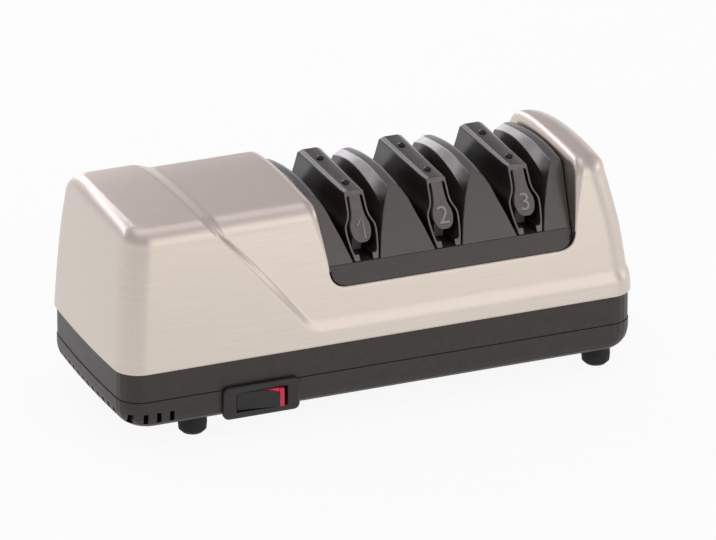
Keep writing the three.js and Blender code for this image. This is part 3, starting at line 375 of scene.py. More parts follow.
def curve(points, steps=4):
    """A smooth line through the points, each stretch bent by the four points around it."""
    def between(p, q, r, s, t):
        return 0.5 * (2 * q + (r - p) * t + (2 * p - 5 * q + 4 * r - s) * t ** 2
                      + (3 * q - p - 3 * r + s) * t ** 3)

    line = []
    last = len(points) - 1
    for i in range(last):
        four = points[max(0, i - 1)], points[i], points[i + 1], points[min(last, i + 2)]
        for t in spread(0, 1, steps):
            line.append(tuple(between(*values, t) for values in zip(*four)))
    return line + [tuple(points[-1])]


def ease(share):
    """A share from 0 to 1 that starts and ends gently."""
    share = min(1.0, max(0.0, share))
    return share * share * (3 - 2 * share)


# Cover: lengths and radii in millimetres
# Rounded upright corners, and the rounding over to the top
CORNER, CROWN = 11.5, 8.0
# The walls lean in by a share of their height and arch; the low form leans in more
DRAFT, WALL_ARCH, LOW_LEAN = 0.044, 900, 0.062
# The top is highest at a line across and falls from there
APEX_Y, TOP_ARCH, BACK_FALL, RIGHT_FALL = -10, 400, 6.7, 8.4
# The low form on the right lies below and inside the high one
STEP_DROP, STEP_DEPTH = 1.65, 1.2
RIGHT_LEAN, RIGHT_LEAN_Z, RIGHT_CROWN = 0.075, 70, 1.3
# The sloping step between them, its fillet and the band along the foot
STEP_SLOPE, STEP_TOP_X = 1.235, 42 - HALF_LENGTH
STEP_LEAD, STEP_TOP_WIDTH, STEP_SIDE_WIDTH, STEP_TURN = 3.0, 6.0, 3.2, 14.0
SILL_STEP, SILL_WIDTH = 7.4, 4.6
# The bay, open to the front and back, and its rolled edges (front, back)
BAY_HEIGHT, BAY_HALF, BAY_LEAN, BAY_CORNER = 26.2, 60.1, 0.09, 8.0
SILL_EDGE, LEFT_EDGE, RIGHT_EDGE, RIGHT_RIDGE = 0.9, (6.4, 5.2), (4.0, 4.0), 0.5
# The sheet of the cover, the rounding of its foot, and how far it is drawn inside
SHEET_WALL, LIP, LIP_MIDDLE, INSIDE_RISE, EDGE_TURN_IN = 2.4, 0.6, 0.18, 4, 3
# Rows below the bay: the first above the foot, and how far the fine ones reach past the sill's band
FIRST_ROW, FINE_MARGIN = 1.5, 2
# Columns of the step: room on its upper side, and how far above its floor they stay
COLUMN_MARGIN, COLUMN_STOP = 2, 3
# Numbers of steps
ARC, CROWN_ROWS, CORNER_ROWS, WALL_ROWS = 6, 12, 12, 24
FOOT_ROWS, FINE_ROWS, SILL_ROWS = 4, 24, 10
SILL_COLUMNS, RIGHT_COLUMNS, LOW_COLUMNS, STEP_COLUMNS, HIGH_COLUMNS = 50, 26, 44, 16, 22
TOP_LINES = 40

STAGE_MIDDLE = 0.143 * 2 * HALF_LENGTH
BAY_FLOOR = FOOT_Z + BAY_HEIGHT
SHOULDER = TOP_Z - CROWN
STEP_FLOOR = FOOT_Z + SILL_STEP
WALL_FOOT = STEP_FLOOR + SILL_WIDTH
STEP_ANGLE = math.atan(STEP_SLOPE)
STEP_RIM = SHOULDER - STEP_DROP


def top_fall(x, y):
    """Fall of the top from its highest line, gentle to the front and steeper to the back."""
    reach = y - APEX_Y
    if reach < 0:
        return reach ** 2 / (2 * TOP_ARCH)
    return (BACK_FALL if x < 0 else RIGHT_FALL) * (reach / (HALF_DEPTH - APEX_Y)) ** 3


def step_line(z, y):
    """The upper left edge of the sloping step."""
    lead = ease((z - STEP_RIM) / (TOP_Z - STEP_RIM)) * STEP_LEAD * (y + HALF_DEPTH) / (2 * HALF_DEPTH)
    return STEP_TOP_X + (TOP_Z - z) / STEP_SLOPE - lead


def soft(share, edge=0.22):
    """A ramp from 0 to 1 with rounded ends."""
    def rise(v):
        if v <= -edge:
            return 0.0
        return v if v >= edge else (v + edge) ** 2 / (4 * edge)
    return rise(share) - rise(share - 1)


def low_share(x, y, z):
    """How far the step has come down at a place: 0 on the proud form, 1 on the low one."""
    slope = (x - step_line(z, y)) * math.sin(STEP_ANGLE)
    level = z - STEP_FLOOR
    top_width = STEP_TOP_WIDTH * math.sin(STEP_ANGLE)
    side_width = mix(STEP_SIDE_WIDTH, top_width, ease((z - STEP_RIM) / (TOP_Z - STEP_RIM)))
    center_x = STEP_TOP_X + (TOP_Z - STEP_FLOOR) / STEP_SLOPE + STEP_TURN * math.tan(STEP_ANGLE / 2)
    turn = math.atan2(center_x - x, STEP_FLOOR + STEP_TURN - z)
    if 0 < turn < STEP_ANGLE:
        away = STEP_TURN - math.hypot(center_x - x, STEP_FLOOR + STEP_TURN - z)
        return soft(away / mix(SILL_WIDTH, side_width, turn / STEP_ANGLE))
    if slope < level:
        return soft(slope / side_width)
    return soft(level / SILL_WIDTH)


def draw(z):
    """How far the walls have leaned in at a height."""
    return DRAFT * (z - FOOT_Z) + (z - FOOT_Z) ** 2 / (2 * WALL_ARCH)


class Level:
    """One height of the cover: a wall height, or a place on its crown by angle."""

    def __init__(self, z=None, turn=0.0, inset=0.0):
        self.turn = turn
        self.z = SHOULDER + CROWN * math.sin(turn) if z is None else z
        # Share of the top's fall that reaches down to this height
        self.rise = 1.0 if z is None else max(0.0, (z - WALL_FOOT) / (SHOULDER - WALL_FOOT)) ** 4
        self.extra = CROWN * (1 - math.cos(turn)) + inset
        self.corner = CORNER - self.extra

    def halves(self, share):
        """Half length and half depth of the cover at this level."""
        z = min(self.z, SHOULDER) - STEP_DROP * share * self.rise
        inset = draw(z) + share * (STEP_DEPTH + LOW_LEAN * max(0.0, z - WALL_FOOT)) + self.extra
        wider_crown = (RIGHT_CROWN - 1) * CROWN * (1 - math.cos(self.turn))
        end = share * (RIGHT_LEAN * max(0.0, z - RIGHT_LEAN_Z) + wider_crown)
        return HALF_LENGTH - inset - end, HALF_DEPTH - inset

    def finish(self, x, y, share):
        """A point at this level with the fall of the top and the drop of the step."""
        return x, y, self.z - (top_fall(x, y) + STEP_DROP * share) * self.rise

    def side(self, x, way, z=None):
        """A point of the front (way -1) or back (way 1)."""
        level = Level(z) if z is not None else self
        share = low_share(x, way * HALF_DEPTH, level.z)
        return level.finish(x, way * level.halves(share)[1], share)

    def end_share(self, end):
        """How low the form is at an end: the left end is proud, the right end low."""
        return 0.0 if end < 0 else low_share(HALF_LENGTH, 0, self.z)

    def corner_x(self, end):
        """Where the rounded corner of an end starts."""
        return end * (self.halves(self.end_share(end))[0] - self.corner)

    def end(self, end, steps=12, arc=10):
        """Points round an end, from the front to the back."""
        share = self.end_share(end)
        hx, hy = self.halves(share)
        flat = [(hx - self.corner + self.corner * math.sin(t), -(hy - self.corner) - self.corner * math.cos(t))
                for t in spread(0, QUARTER, arc)]
        flat += [(hx, y) for y in spread(self.corner - hy, 0, steps)]
        flat += [(hx, 0)] + [(x, -y) for x, y in reversed(flat)]
        points = []
        for x, y in flat:
            bow = END_BOW * (x - (hx - self.corner)) / self.corner * (1 - (y / hy) ** 2)
            points.append(self.finish(end * (x + bow), y, share))
        return points


def bay_side(end, z):
    """The left (end -1) or right (end 1) side of the bay."""
    return STAGE_MIDDLE + end * (BAY_HALF + BAY_LEAN * (z - BAY_FLOOR))


def bay_corner(end, share, gap=0.0):
    """Lower corner of the bay from the sill (0) to the side (1), and its direction into the metal."""
    r = BAY_CORNER
    floor = BAY_FLOOR + gap
    a = (bay_side(end, floor) - end * (r + gap), floor)
    b = (bay_side(end, floor) - end * gap, floor)
    c = (bay_side(end, floor + r) - end * gap, floor + r)
    point = [mix(mix(a[k], b[k], share), mix(b[k], c[k], share), share) for k in (0, 1)]
    along = [mix(b[k] - a[k], c[k] - b[k], share) for k in (0, 1)]
    size = math.hypot(*along)
    return point, (end * abs(along[1]) / size, -abs(along[0]) / size)


def columns(end, level, edge_x, way):
    """Places along the front or back, from the edge of the bay to the corner."""
    if end > 0:
        return spread(edge_x, level.corner_x(1), RIGHT_COLUMNS)
    left = step_line(max(level.z, STEP_FLOOR + COLUMN_STOP), way * HALF_DEPTH)
    right = left + STEP_TOP_WIDTH
    left -= COLUMN_MARGIN
    return (spread(edge_x, right, LOW_COLUMNS) + spread(right, left, STEP_COLUMNS)
            + spread(left, level.corner_x(-1), HIGH_COLUMNS))


def chain(end, level, edges):
    """Points of one block at a level, from its front bay edge round the end to its back one."""
    front = [level.side(x, -1) for x in columns(end, level, edges[-1], -1)]
    rear = [level.side(x, 1) for x in columns(end, level, edges[1], 1)]
    return front + level.end(end) + rear[::-1]


def cover_walls(sheet, left, right):
    """Rows below the bay, closed all round, whose sills run from left to right. Returns the top level."""
    sill_row = BAY_FLOOR - SILL_EDGE
    levels = [Level(FOOT_Z + INSIDE_RISE, inset=SHEET_WALL), Level(FOOT_Z, inset=SHEET_WALL),
              Level(FOOT_Z, inset=LIP), Level(FOOT_Z + LIP_MIDDLE, inset=LIP_MIDDLE), Level(FOOT_Z + LIP)]
    fine_low, fine_high = STEP_FLOOR - FINE_MARGIN, WALL_FOOT + FINE_MARGIN
    heights = spread(FOOT_Z + FIRST_ROW, fine_low, FOOT_ROWS) + spread(fine_low, fine_high, FINE_ROWS)
    levels += [Level(z) for z in heights + spread(fine_high, sill_row, SILL_ROWS) + [sill_row]]
    sill = spread(left, right, SILL_COLUMNS)[1:]
    rows = []
    for level in levels:
        ring = chain(-1, level, {-1: left, 1: left}) + [level.side(x, 1) for x in sill]
        ring += chain(1, level, {-1: right, 1: right})[::-1] + [level.side(x, -1) for x in reversed(sill)]
        rows.append(sheet.row(ring))
    sheet.strips(rows, closed=True)
    return levels[-1]


def sill_edge(sheet, level, way, left, right):
    """The rolled edge of the front or back sill."""
    rows = []
    for t in quarter(ARC):
        line = []
        for x in spread(left, right, SILL_COLUMNS) + [right]:
            p = level.side(x, way, level.z + SILL_EDGE * math.sin(t))
            line.append((p[0], p[1] - way * SILL_EDGE * (1 - math.cos(t)), p[2]))
        rows.append(sheet.row(line))
    inward = [(x, y - way * EDGE_TURN_IN, z) for x, y, z in [sheet.points[i] for i in rows[-1]]]
    sheet.strips(rows + [sheet.row(inward)])


def bay_edge(end, level, way):
    """Where the side of the bay meets the front or back at a level."""
    return bay_side(end, level.side(bay_side(end, level.z), way)[2])


def edge_place(kind, value, end, way):
    """Level, start, direction and radius of the rolled edge beside the bay at one of its places."""
    if kind == "corner":
        (ox, oz), (nx, nz) = bay_corner(end, value)
        return Level(oz + nz * SILL_EDGE), (ox, oz), (nx, nz), SILL_EDGE
    level = Level(value) if kind == "wall" else Level(turn=value)
    growth = ease((level.z - BAY_FLOOR - BAY_CORNER) / (TOP_Z - BAY_FLOOR - BAY_CORNER))
    r = mix(SILL_EDGE, (LEFT_EDGE if end < 0 else RIGHT_EDGE)[way > 0], growth)
    ox = bay_edge(end, level, way)
    if end > 0:
        # The edge stays on its side of the narrow ridge
        r = min(r, level.halves(1)[0] - ox - RIGHT_RIDGE)
    return level, (ox, level.z), (end, 0.0), r


def block(sheet, end):
    """Walls and crown of a block beside the bay, with its rolled edges and its side in the bay."""
    places = [("corner", i / CORNER_ROWS) for i in range(CORNER_ROWS + 1)]
    places += [("wall", z) for z in spread(BAY_FLOOR + BAY_CORNER, SHOULDER, WALL_ROWS)[1:]]
    places += [("crown", t) for t in quarter(CROWN_ROWS)]
    rows, folds = [], {-1: [], 1: []}
    for kind, value in places:
        edges = {}
        for way in (-1, 1):
            level, (ox, oz), (nx, nz), r = edge_place(kind, value, end, way)
            edges[way] = ox + nx * r
            fold = []
            for t in quarter(ARC):
                out, sink = r * (1 - math.sin(t)), r * (1 - math.cos(t))
                z = None if kind == "crown" else oz + nz * out
                px, py, pz = level.side(ox + nx * out, way, z)
                fold.append((px, py - way * sink * math.cos(level.turn), pz - sink * math.sin(level.turn)))
            folds[way].append(sheet.row(fold))
        if end > 0:
            level.corner = min(level.corner, level.halves(1)[0] - max(edges.values()) - RIGHT_RIDGE / 2)
        rows.append(sheet.row(chain(end, level, edges)))
    sheet.strips(rows)
    for way in (-1, 1):
        sheet.strips(folds[way])
    # Flat side of the bay, from the front fold to the back one
    for k in range(len(places) - 1):
        sheet.faces.append((folds[-1][k][-1], folds[-1][k + 1][-1], folds[1][k + 1][-1], folds[1][k][-1]))
    radii = [end * (edges[way] - bay_edge(end, level, way)) for way in (-1, 1)]
    block_top(sheet, end, [sheet.points[i] for i in rows[-1]], radii)


def block_top(sheet, end, ring, radii):
    """The top inside its ring, in lines from front to back, and its rolled edge beside the bay."""
    level = Level(turn=QUARTER)

    def top_point(x, y):
        """The top above a place."""
        return level.finish(x, y, low_share(x, y, TOP_Z))

    lines = []
    for (x0, y0, _), (x1, y1, _) in list(zip(ring, ring[::-1]))[:(len(ring) + 1) // 2]:
        lines.append(sheet.row([top_point(mix(x0, x1, j / TOP_LINES), mix(y0, y1, j / TOP_LINES))
                                for j in range(TOP_LINES + 1)]))
    sheet.strips(lines)
    folds = [lines[0]]
    (x0, y0, _), (x1, y1, _) = ring[0], ring[-1]
    for t in quarter(ARC)[1:]:
        line = []
        for j in range(TOP_LINES + 1):
            r = mix(*radii, j / TOP_LINES)
            x, y, z = top_point(mix(x0, x1, j / TOP_LINES) - end * r * math.sin(t), mix(y0, y1, j / TOP_LINES))
            line.append((x, y, z - r * (1 - math.cos(t))))
        folds.append(sheet.row(line))
    sheet.strips(folds)
    sheet.faces.append(tuple(folds[-1]))


def cover():
    """The metal cover with its sloping step, and the bay between its two blocks."""
    sheet = Sheet()
    left, right = (bay_corner(end, 0)[0][0] for end in (-1, 1))
    level = cover_walls(sheet, left, right)
    for way in (-1, 1):
        sill_edge(sheet, level, way, left, right)
    for end in (-1, 1):
        block(sheet, end)
    sheet.piece("cover", "cover_metal", "housing", ["top_cover"], crease=50, weld=0.01)


cover()


# Guide deck
GAP = 0.3
DECK_FLOOR, CREASE_Y = BAY_FLOOR + 8.4, 40.0
# Its front and back planes lean in by these shares of the height
FRONT_LEAN, BACK_LEAN = 0.6, 0.33
STAGE_PITCH = 40.7
STAGES = [STAGE_MIDDLE + k * STAGE_PITCH for k in (-1, 0, 1)]
# A hump: half widths of its foot, waist, shoulder and ridge, and the arches of the last two
FOOT_HALF, WAIST_HALF, WAIST_RISE = 13.9, 11.3, 9.2
SHOULDER_HALF, SHOULDER_Z, SHOULDER_Y, SHOULDER_ARCH = 7.9, 98.9, 6, 140
RIDGE_HALF, RIDGE_Z, RIDGE_Y, RIDGE_ARCH = 3.7, 101.1, -2, 270
RIDGE_CROWN = 0.25
# Its right side: distances from the middle and the drops below the ridge there
RIGHT_DROPS = [(0.0, -RIDGE_CROWN), (1.5, 0.15), (3.1, 1.9), (5.2, 5.0), (7.4, 10.0)]
# Toward the back these drops grow by a share, and the whole side sinks: how much, from where, along how far
DROP_GROWTH, SIDE_SINK = (0.4, -20, 50), (0.3, -10, 40)
RIGHT_WAIST_HALF, RIGHT_FOOT_HALF = 10.4, FOOT_HALF - 0.3
HUMP_STEPS, SETTLE_ROUNDS = 26, 14
# The hump at the left end is a little higher
END_GROWTH = 1.03
# The sills: their outer edge, the places of their rows, the rolled lip and the tuck under the humps
DECK_SILL_Y = HALF_DEPTH - draw(BAY_FLOOR) - STEP_DEPTH - LOW_LEAN * (BAY_FLOOR - WALL_FOOT) - 0.5
SILL_SHARES, SILL_LIP_Y, SILL_LIP_Z, SILL_TUCK = (0, 0.06, 0.5, 1), 1.2, 0.6, 4
SILL_CORNER_ROWS, SILL_LIP_ROWS = 8, 3
# The openings over the disks
WINDOW_HALF, WINDOW_REACH, WINDOW_TOP = 5.7, 18.2, 77.3


def front_y(z):
    """The leaning plane of the fronts of humps, guides and cores."""
    return (z - DECK_FLOOR) * FRONT_LEAN - CREASE_Y


def back_y(z):
    """The leaning plane of their backs."""
    return CREASE_Y - (z - DECK_FLOOR) * BACK_LEAN


FRONT_OUT = Vector((0, -1, FRONT_LEAN)).normalized()
FRONT_UP = Vector((0, FRONT_LEAN, 1)).normalized()


def settle(height, share):
    """Place in Y and Z on a line whose height follows y, at a share from the front to the back plane."""
    y = 0.0
    for _ in range(SETTLE_ROUNDS):
        z = height(y)
        y = mix(front_y(z), back_y(z), share)
    return y, height(y)


def shoulder(y):
    """Height of a hump's shoulder, arched along y."""
    return SHOULDER_Z - (y - SHOULDER_Y) ** 2 / SHOULDER_ARCH


def ridge(y):
    """Height of a hump's ridge, arched along y."""
    return RIDGE_Z - (y - RIDGE_Y) ** 2 / RIDGE_ARCH


def right_side(y, drop):
    """Height of a hump's right side, which falls away faster toward the back."""
    growth, sink = (most * ease((y - start) / reach) for most, start, reach in (DROP_GROWTH, SIDE_SINK))
    return ridge(y) - drop * (1 + growth) - sink


def foot(_):
    """Height of a hump's foot, the same along y."""
    return DECK_FLOOR


def waist(_):
    """Height of a hump's waist, the same along y."""
    return DECK_FLOOR + WAIST_RISE


# Half widths of a hump and the lines of its height along y, from its foot up and down again
HUMP_LEFT = [(FOOT_HALF, foot), (WAIST_HALF, waist), (SHOULDER_HALF, shoulder), (RIDGE_HALF, ridge),
             (RIDGE_HALF / 2, lambda y: ridge(y) + RIDGE_CROWN)]
HUMP_RIGHT = [(dx, lambda y, drop=drop: right_side(y, drop)) for dx, drop in RIGHT_DROPS]
HUMP_RIGHT += [(RIGHT_WAIST_HALF, waist), (RIGHT_FOOT_HALF, foot)]


def hump(sheet, x, low=None, high=None, growth=1.0):
    """One hump between two stages, cut off by the side of the bay where low or high is given."""
    rings = []
    for i in range(HUMP_STEPS + 1):
        share = i / HUMP_STEPS
        ring = [(x - dx, *settle(height, share)) for dx, height in HUMP_LEFT]
        ring += [(x + dx, *settle(height, share)) for dx, height in HUMP_RIGHT]
        ring = [(px, y, mix(DECK_FLOOR, z, growth)) for px, y, z in ring]
        rings.append([(min(max(px, low(z) if low else px), high(z) if high else px), y, z)
                      for px, y, z in ring])
    sheet.loft(rings)


def bay_limit(end):
    """How far a hump may reach at a height, clear of the side of the bay."""
    return lambda z: bay_side(end, z) - end * GAP


def deck_sills(sheet, low, high):
    """Sloping sills in front and behind, with rounded ends in the corners of the bay."""
    corner = [bay_corner(-1, i / SILL_CORNER_ROWS, GAP)[0] for i in range(SILL_CORNER_ROWS + 1)]
    corner = [(px - low, pz) for px, pz in corner]
    ends = [(low + px, pz) for px, pz in reversed(corner)] + [(high - px, pz) for px, pz in corner]
    foot_z = BAY_FLOOR + GAP
    for way in (-1, 1):
        rows = []
        for px, pz in ends:
            line = []
            for share in SILL_SHARES:
                z = max(pz, mix(foot_z, DECK_FLOOR, share))
                y = mix(DECK_SILL_Y, CREASE_Y, (z - foot_z) / (DECK_FLOOR - foot_z))
                line.append((px, way * y, z))
            line.append((px, way * (CREASE_Y - SILL_TUCK), DECK_FLOOR))
            rows.append(sheet.row(line))
        sheet.strips(rows)
        sheet.strips([sheet.row([(px, way * (DECK_SILL_Y - SILL_LIP_Y * step), pz - SILL_LIP_Z * step)
                                 for px, pz in ends]) for step in range(SILL_LIP_ROWS)])


def deck_plate(sheet, low, high):
    """Floor between the humps, its openings over the disks walled down to the foot of the bay."""
    lines_x = [low + BAY_CORNER]
    for x in STAGES:
        lines_x += [x - WINDOW_HALF, x + WINDOW_HALF]
    lines_x.append(high - BAY_CORNER)
    lines_y = [SILL_TUCK - CREASE_Y, -WINDOW_REACH, WINDOW_REACH, CREASE_Y - SILL_TUCK]
    for i, (a, b) in enumerate(zip(lines_x, lines_x[1:])):
        for j, (c, d) in enumerate(zip(lines_y, lines_y[1:])):
            corners = (a, c), (b, c), (b, d), (a, d)
            top = sheet.row([(*corner, DECK_FLOOR) for corner in corners])
            if i % 2 and j == 1:
                sheet.strip(sheet.row([(*corner, BAY_FLOOR + GAP) for corner in corners]), top, closed=True)
            else:
                sheet.faces.append(tuple(top))


def deck():
    """The guide deck: sills, floor and humps, clear of the bay."""
    low, high = bay_side(-1, BAY_FLOOR) + GAP, bay_side(1, BAY_FLOOR) - GAP
    sills = Sheet()
    deck_sills(sills, low, high)
    sills.piece("deck_sills", "deck_plastic", "housing", crease=25)
    plate = Sheet()
    deck_plate(plate, low, high)
    # The floor between the humps takes the darker copy of the deck plastic, as painted shade
    plate.piece("deck_floor", "deck_painted_shade", "housing", crease=25)
    humps = Sheet()
    for k in (0, 1):
        hump(humps, STAGES[k] + STAGE_PITCH / 2)
    hump(humps, STAGES[0] - STAGE_PITCH / 2, low=bay_limit(-1), growth=END_GROWTH)
    hump(humps, STAGES[2] + STAGE_PITCH / 2, high=bay_limit(1))
    obj = humps.piece("deck_humps", "deck_plastic", "housing", ["guide_deck"], crease=14)
    bevel(obj, width=0.4, angle=14)


deck()


# Spring guides: heights in the frame, half widths from the middle of the stage
GUIDE_TOP = DECK_FLOOR + 28.4
# Outer side upward: half width in front, half width behind, height
GUIDE_SIDE = [(5.75, 5.75, 72.1), (6.6, 6.6, 75.6), (7.0, 7.0, WINDOW_TOP), (7.3, 7.3, 79.2), (7.75, 7.7, 83),
              (7.55, 7.5, 86), (5.9, 7.1, 88.9), (5.1, 6.7, 91.6), (4.9, 6.3, 95)]
ARM, CAP, SLIT_ROUND = 0.95, 2.2, 1.0
HOOK_LENGTH, HOOK_HEIGHT, HOOK_STEP = 1.6, 2.6, 0.3
# The edge of the top (front, back), and the plateau between the two facets
EDGE_HALF, EDGE_DROP, EDGE_ROUND, EDGE_TURN = (4.7, 5.9), (0.3, 0.9), 0.8, 1.4
PLATEAU_HALF, PLATEAU_OUT, PLATEAU_IN = 3.5, 0.3, 0.2
# Core: half width and height upward, then its top and its foot
CORE_SIDE = [(3.0, 79.9), (4.0, 81.0), (4.75, 83), (4.9, 85), (4.45, 87), (3.55, 89), (3.0, 91.6), (2.75, 95),
             (2.7, GUIDE_TOP - 0.35)]
CORE_FOOT = [(2.0, 79.3), (1.0, 79.1)]
CORE_SET_BACK = 0.1
CORE_LEG_HALF, CORE_LEG_LENGTH, CORE_LEG_TOP, CORE_LEG_CLEARANCE = 2.4, 8, 82.0, 0.8
# Screws
SCREW_Y = -13.5, 17.5
SCREW_HEAD, SCREW_RISE, SCREW_RIM, SCREW_LENGTH, SHANK, DOME_TURN = 1.9, 1.1, 0.1, 6, 1.1, 1.25
SCREW_SIDES, AXIS = 28, 0.01
# Round recess in the head: radius and share of the dome's rise
RECESS = [(0.5, 0.98), (0.42, 0.6), (AXIS, 0.55)]
# Numerals: the first one is a stroke of its own, the others are letters of the built in font
NUMERAL_HEIGHTS = 10.0, 8.8, 8.4
NUMERAL_RISE, NUMERAL_Z, NUMERAL_ROUND, NUMERAL_THIN = 0.35, 84.9, 0.12, 0.15
FONT_HEIGHT_SHARE = 0.73
FIRST_STROKE, STROKE_RADIUS = ((-2.3, 1.4), (0.6, 5.0), (0.6, -5.0)), 0.5


def guide_outline(share):
    """Outer and inner side of half the outline at a share of the length, both upward."""
    half, drop = mix(*EDGE_HALF, share), mix(*EDGE_DROP, share)
    side = [(mix(a, b, share), z) for a, b, z in GUIDE_SIDE]
    r, edge = EDGE_ROUND, GUIDE_TOP - drop
    outer = curve(side[:3], 3)[:-1] + curve(side[2:] + [(half, edge - r)], 3)
    top = [(half - r * (1 - math.cos(t)), edge - r * (1 - math.sin(t))) for t in spread(0, EDGE_TURN, 5)[1:]]
    slope = drop / (half - r - PLATEAU_HALF)
    top.append((PLATEAU_HALF + PLATEAU_OUT, GUIDE_TOP - slope * PLATEAU_OUT))
    top.append((PLATEAU_HALF - PLATEAU_IN, GUIDE_TOP))
    slit = GUIDE_TOP - CAP
    inner = [(px - ARM, pz) for px, pz in outer if pz < slit - SLIT_ROUND]
    last = inner[-1][0]
    inner += [(last - SLIT_ROUND * (1 - math.cos(t)), slit - SLIT_ROUND * (1 - math.sin(t)))
              for t in spread(0, QUARTER, 4)]
    inner.append((last - SLIT_ROUND, slit))
    return outer + top, inner


def guide_row(x, share, y_of):
    """Right and left half of a guide's outline at a share of its length, where y follows the height."""
    outer, inner = guide_outline(share)
    arm_x, foot_z = inner[0]
    hook_x, hook_z = arm_x - HOOK_LENGTH, foot_z + HOOK_HEIGHT
    hook = [(arm_x, foot_z), (hook_x, foot_z), (hook_x, hook_z), (arm_x + HOOK_STEP, hook_z)]
    # From the middle of the top down the outside, round the foot and up the inside
    path = outer[::-1] + hook + [point for point in inner if point[1] > hook_z]
    return [(x + dx, y_of(z), z) for dx, z in path], [(x - dx, y_of(z), z) for dx, z in path]


def guide(number, x):
    """A black guide like an upside down U over its core, its arms cut out over the disks."""
    sheet = Sheet()
    rows = [guide_row(x, 0, front_y)]
    for window_y in (-WINDOW_REACH, WINDOW_REACH):
        share = (window_y + CREASE_Y) / (2 * CREASE_Y)
        rows.append(guide_row(x, share, lambda z, y=window_y: y))
    rows.append(guide_row(x, 1, back_y))
    rings = [sheet.row(right + left[::-1]) for right, left in rows]
    total = len(rings[0])
    low = {i for i, at in enumerate(rings[0]) if sheet.points[at][2] < WINDOW_TOP - 0.01}
    for k, (first, second) in enumerate(zip(rings, rings[1:])):
        for i in range(total):
            j = (i + 1) % total
            if k == 1 and (i in low or j in low):
                continue
            sheet.faces.append((first[i], first[j], second[j], second[i]))
    # Ends of the arms at the openings, and their undersides over the disks
    for i in range(total):
        if i in low and (i - 1) % total not in low:
            run = [(i - 1) % total, i]
            while run[-1] in low:
                run.append((run[-1] + 1) % total)
            for ring in rings[1:3]:
                sheet.faces.append(tuple(ring[k] for k in run))
            a, b = run[0], run[-1]
            sheet.faces.append((rings[1][a], rings[1][b], rings[2][b], rings[2][a]))
    for ring in (rings[0], rings[-1]):
        sheet.faces.append(tuple(ring))
    obj = sheet.piece(f"stage_{number}_guide", "guide_plastic", "housing", [f"stage_{number}_spring_guide"],
                      crease=32)
    # Painted light: the cut front of the guide gets a lighter copy of its plastic than its glossy outside, for
    # the light that falls on it
    obj.data.materials.append(looks["guide_front_painted_light"])
    for face in obj.data.polygons:
        if face.normal.dot(FRONT_OUT) > 0.999:
            face.material_index = 1
    bevel(obj, width=0.45, angle=40)


def core(number, x):
    """The fixed core with the bulb for the numeral, and its two legs."""
    sheet = Sheet()
    half = curve(CORE_SIDE, 3)[::-1] + CORE_FOOT
    rings = []
    for plane, back in ((front_y, CORE_SET_BACK), (back_y, -CORE_SET_BACK)):
        right = [(x + dx, plane(z) + back, z) for dx, z in half]
        rings.append(right + [(2 * x - px, y, z) for px, y, z in reversed(right)])
    sheet.loft(rings)
    for way in (-1, 1):
        near = way * (WINDOW_REACH + CORE_LEG_CLEARANCE)
        far = near + way * CORE_LEG_LENGTH
        outline = [(x + side * CORE_LEG_HALF, y) for side, y in ((-1, near), (1, near), (1, far), (-1, far))]
        sheet.loft([[(*point, z) for point in outline] for z in (DECK_FLOOR + GAP, CORE_LEG_TOP)])
    obj = sheet.piece(f"stage_{number}_core", "core_plastic", "housing", [f"stage_{number}_guide_core"],
                      crease=35)
    bevel(obj, width=0.25, segments=2, angle=50)


def screw(number, x, name, y):
    """Domed head on the cap with a round recess, and its shank."""
    sheet = Sheet()
    seat = GUIDE_TOP + GAP / 2
    profile = [(AXIS, seat - SCREW_LENGTH), (SHANK, seat - SCREW_LENGTH), (SHANK, seat - SCREW_RIM),
               (SCREW_HEAD - SCREW_RIM, seat - SCREW_RIM)]
    profile += [(SCREW_HEAD * math.cos(t), seat + SCREW_RISE * math.sin(t)) for t in spread(0, DOME_TURN, 8)]
    profile += [(r, seat + share * SCREW_RISE) for r, share in RECESS]
    turns = spread(0, 2 * math.pi, SCREW_SIDES)
    sheet.loft([[(x + r * math.cos(a), y + r * math.sin(a), z) for a in turns] for r, z in profile])
    sheet.piece(f"stage_{number}_dome_{name}", "screw_black", "housing", [f"stage_{number}_screw_{name}"],
                crease=50)


def letter(number):
    """Outline text of a number with the built in font."""
    text = bpy.data.curves.new("numeral", "FONT")
    text.body = str(number)
    text.size = NUMERAL_HEIGHTS[number - 1] * MM / FONT_HEIGHT_SHARE
    text.extrude = NUMERAL_RISE * MM
    text.bevel_depth = NUMERAL_ROUND * MM
    text.offset = -NUMERAL_THIN * MM
    return text


def stroke(points):
    """A rounded stroke through points in millimetres."""
    line = bpy.data.curves.new("numeral", "CURVE")
    line.dimensions = "3D"
    line.bevel_depth = STROKE_RADIUS * MM
    line.use_fill_caps = True
    spline = line.splines.new("POLY")
    spline.points.add(len(points) - 1)
    for spot, (x, y) in zip(spline.points, points):
        spot.co = (x * MM, y * MM, 0, 1)
    return line


def numeral(number, x):
    """Raised numeral on the bulb of the core."""
    shape = stroke(FIRST_STROKE) if number == 1 else letter(number)
    source = bpy.data.objects.new("numeral", shape)
    scene.collection.objects.link(source)
    mesh = bpy.data.meshes.new_from_object(source.evaluated_get(bpy.context.evaluated_depsgraph_get()))
    bpy.data.objects.remove(source)
    middle = [(min(v.co[k] for v in mesh.vertices) + max(v.co[k] for v in mesh.vertices)) / 2
              for k in (0, 1)]
    origin = Vector(place((x, front_y(NUMERAL_Z) + CORE_SET_BACK, NUMERAL_Z)))
    for v in mesh.vertices:
        across, up, out = v.co.x - middle[0], v.co.y - middle[1], v.co.z
        v.co = origin + Vector((across, 0, 0)) + FRONT_UP * up + FRONT_OUT * out
    mesh.materials.clear()
    mesh.materials.append(looks["numeral"])
    obj = bpy.data.objects.new(f"stage_{number}_numeral", mesh)
    scene.collection.objects.link(obj)
    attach(obj, "housing")


for number, x in enumerate(STAGES, 1):
    guide(number, x)
    core(number, x)
    numeral(number, x)
    for name, y in zip(("front", "back"), SCREW_Y):
        screw(number, x, name, y)


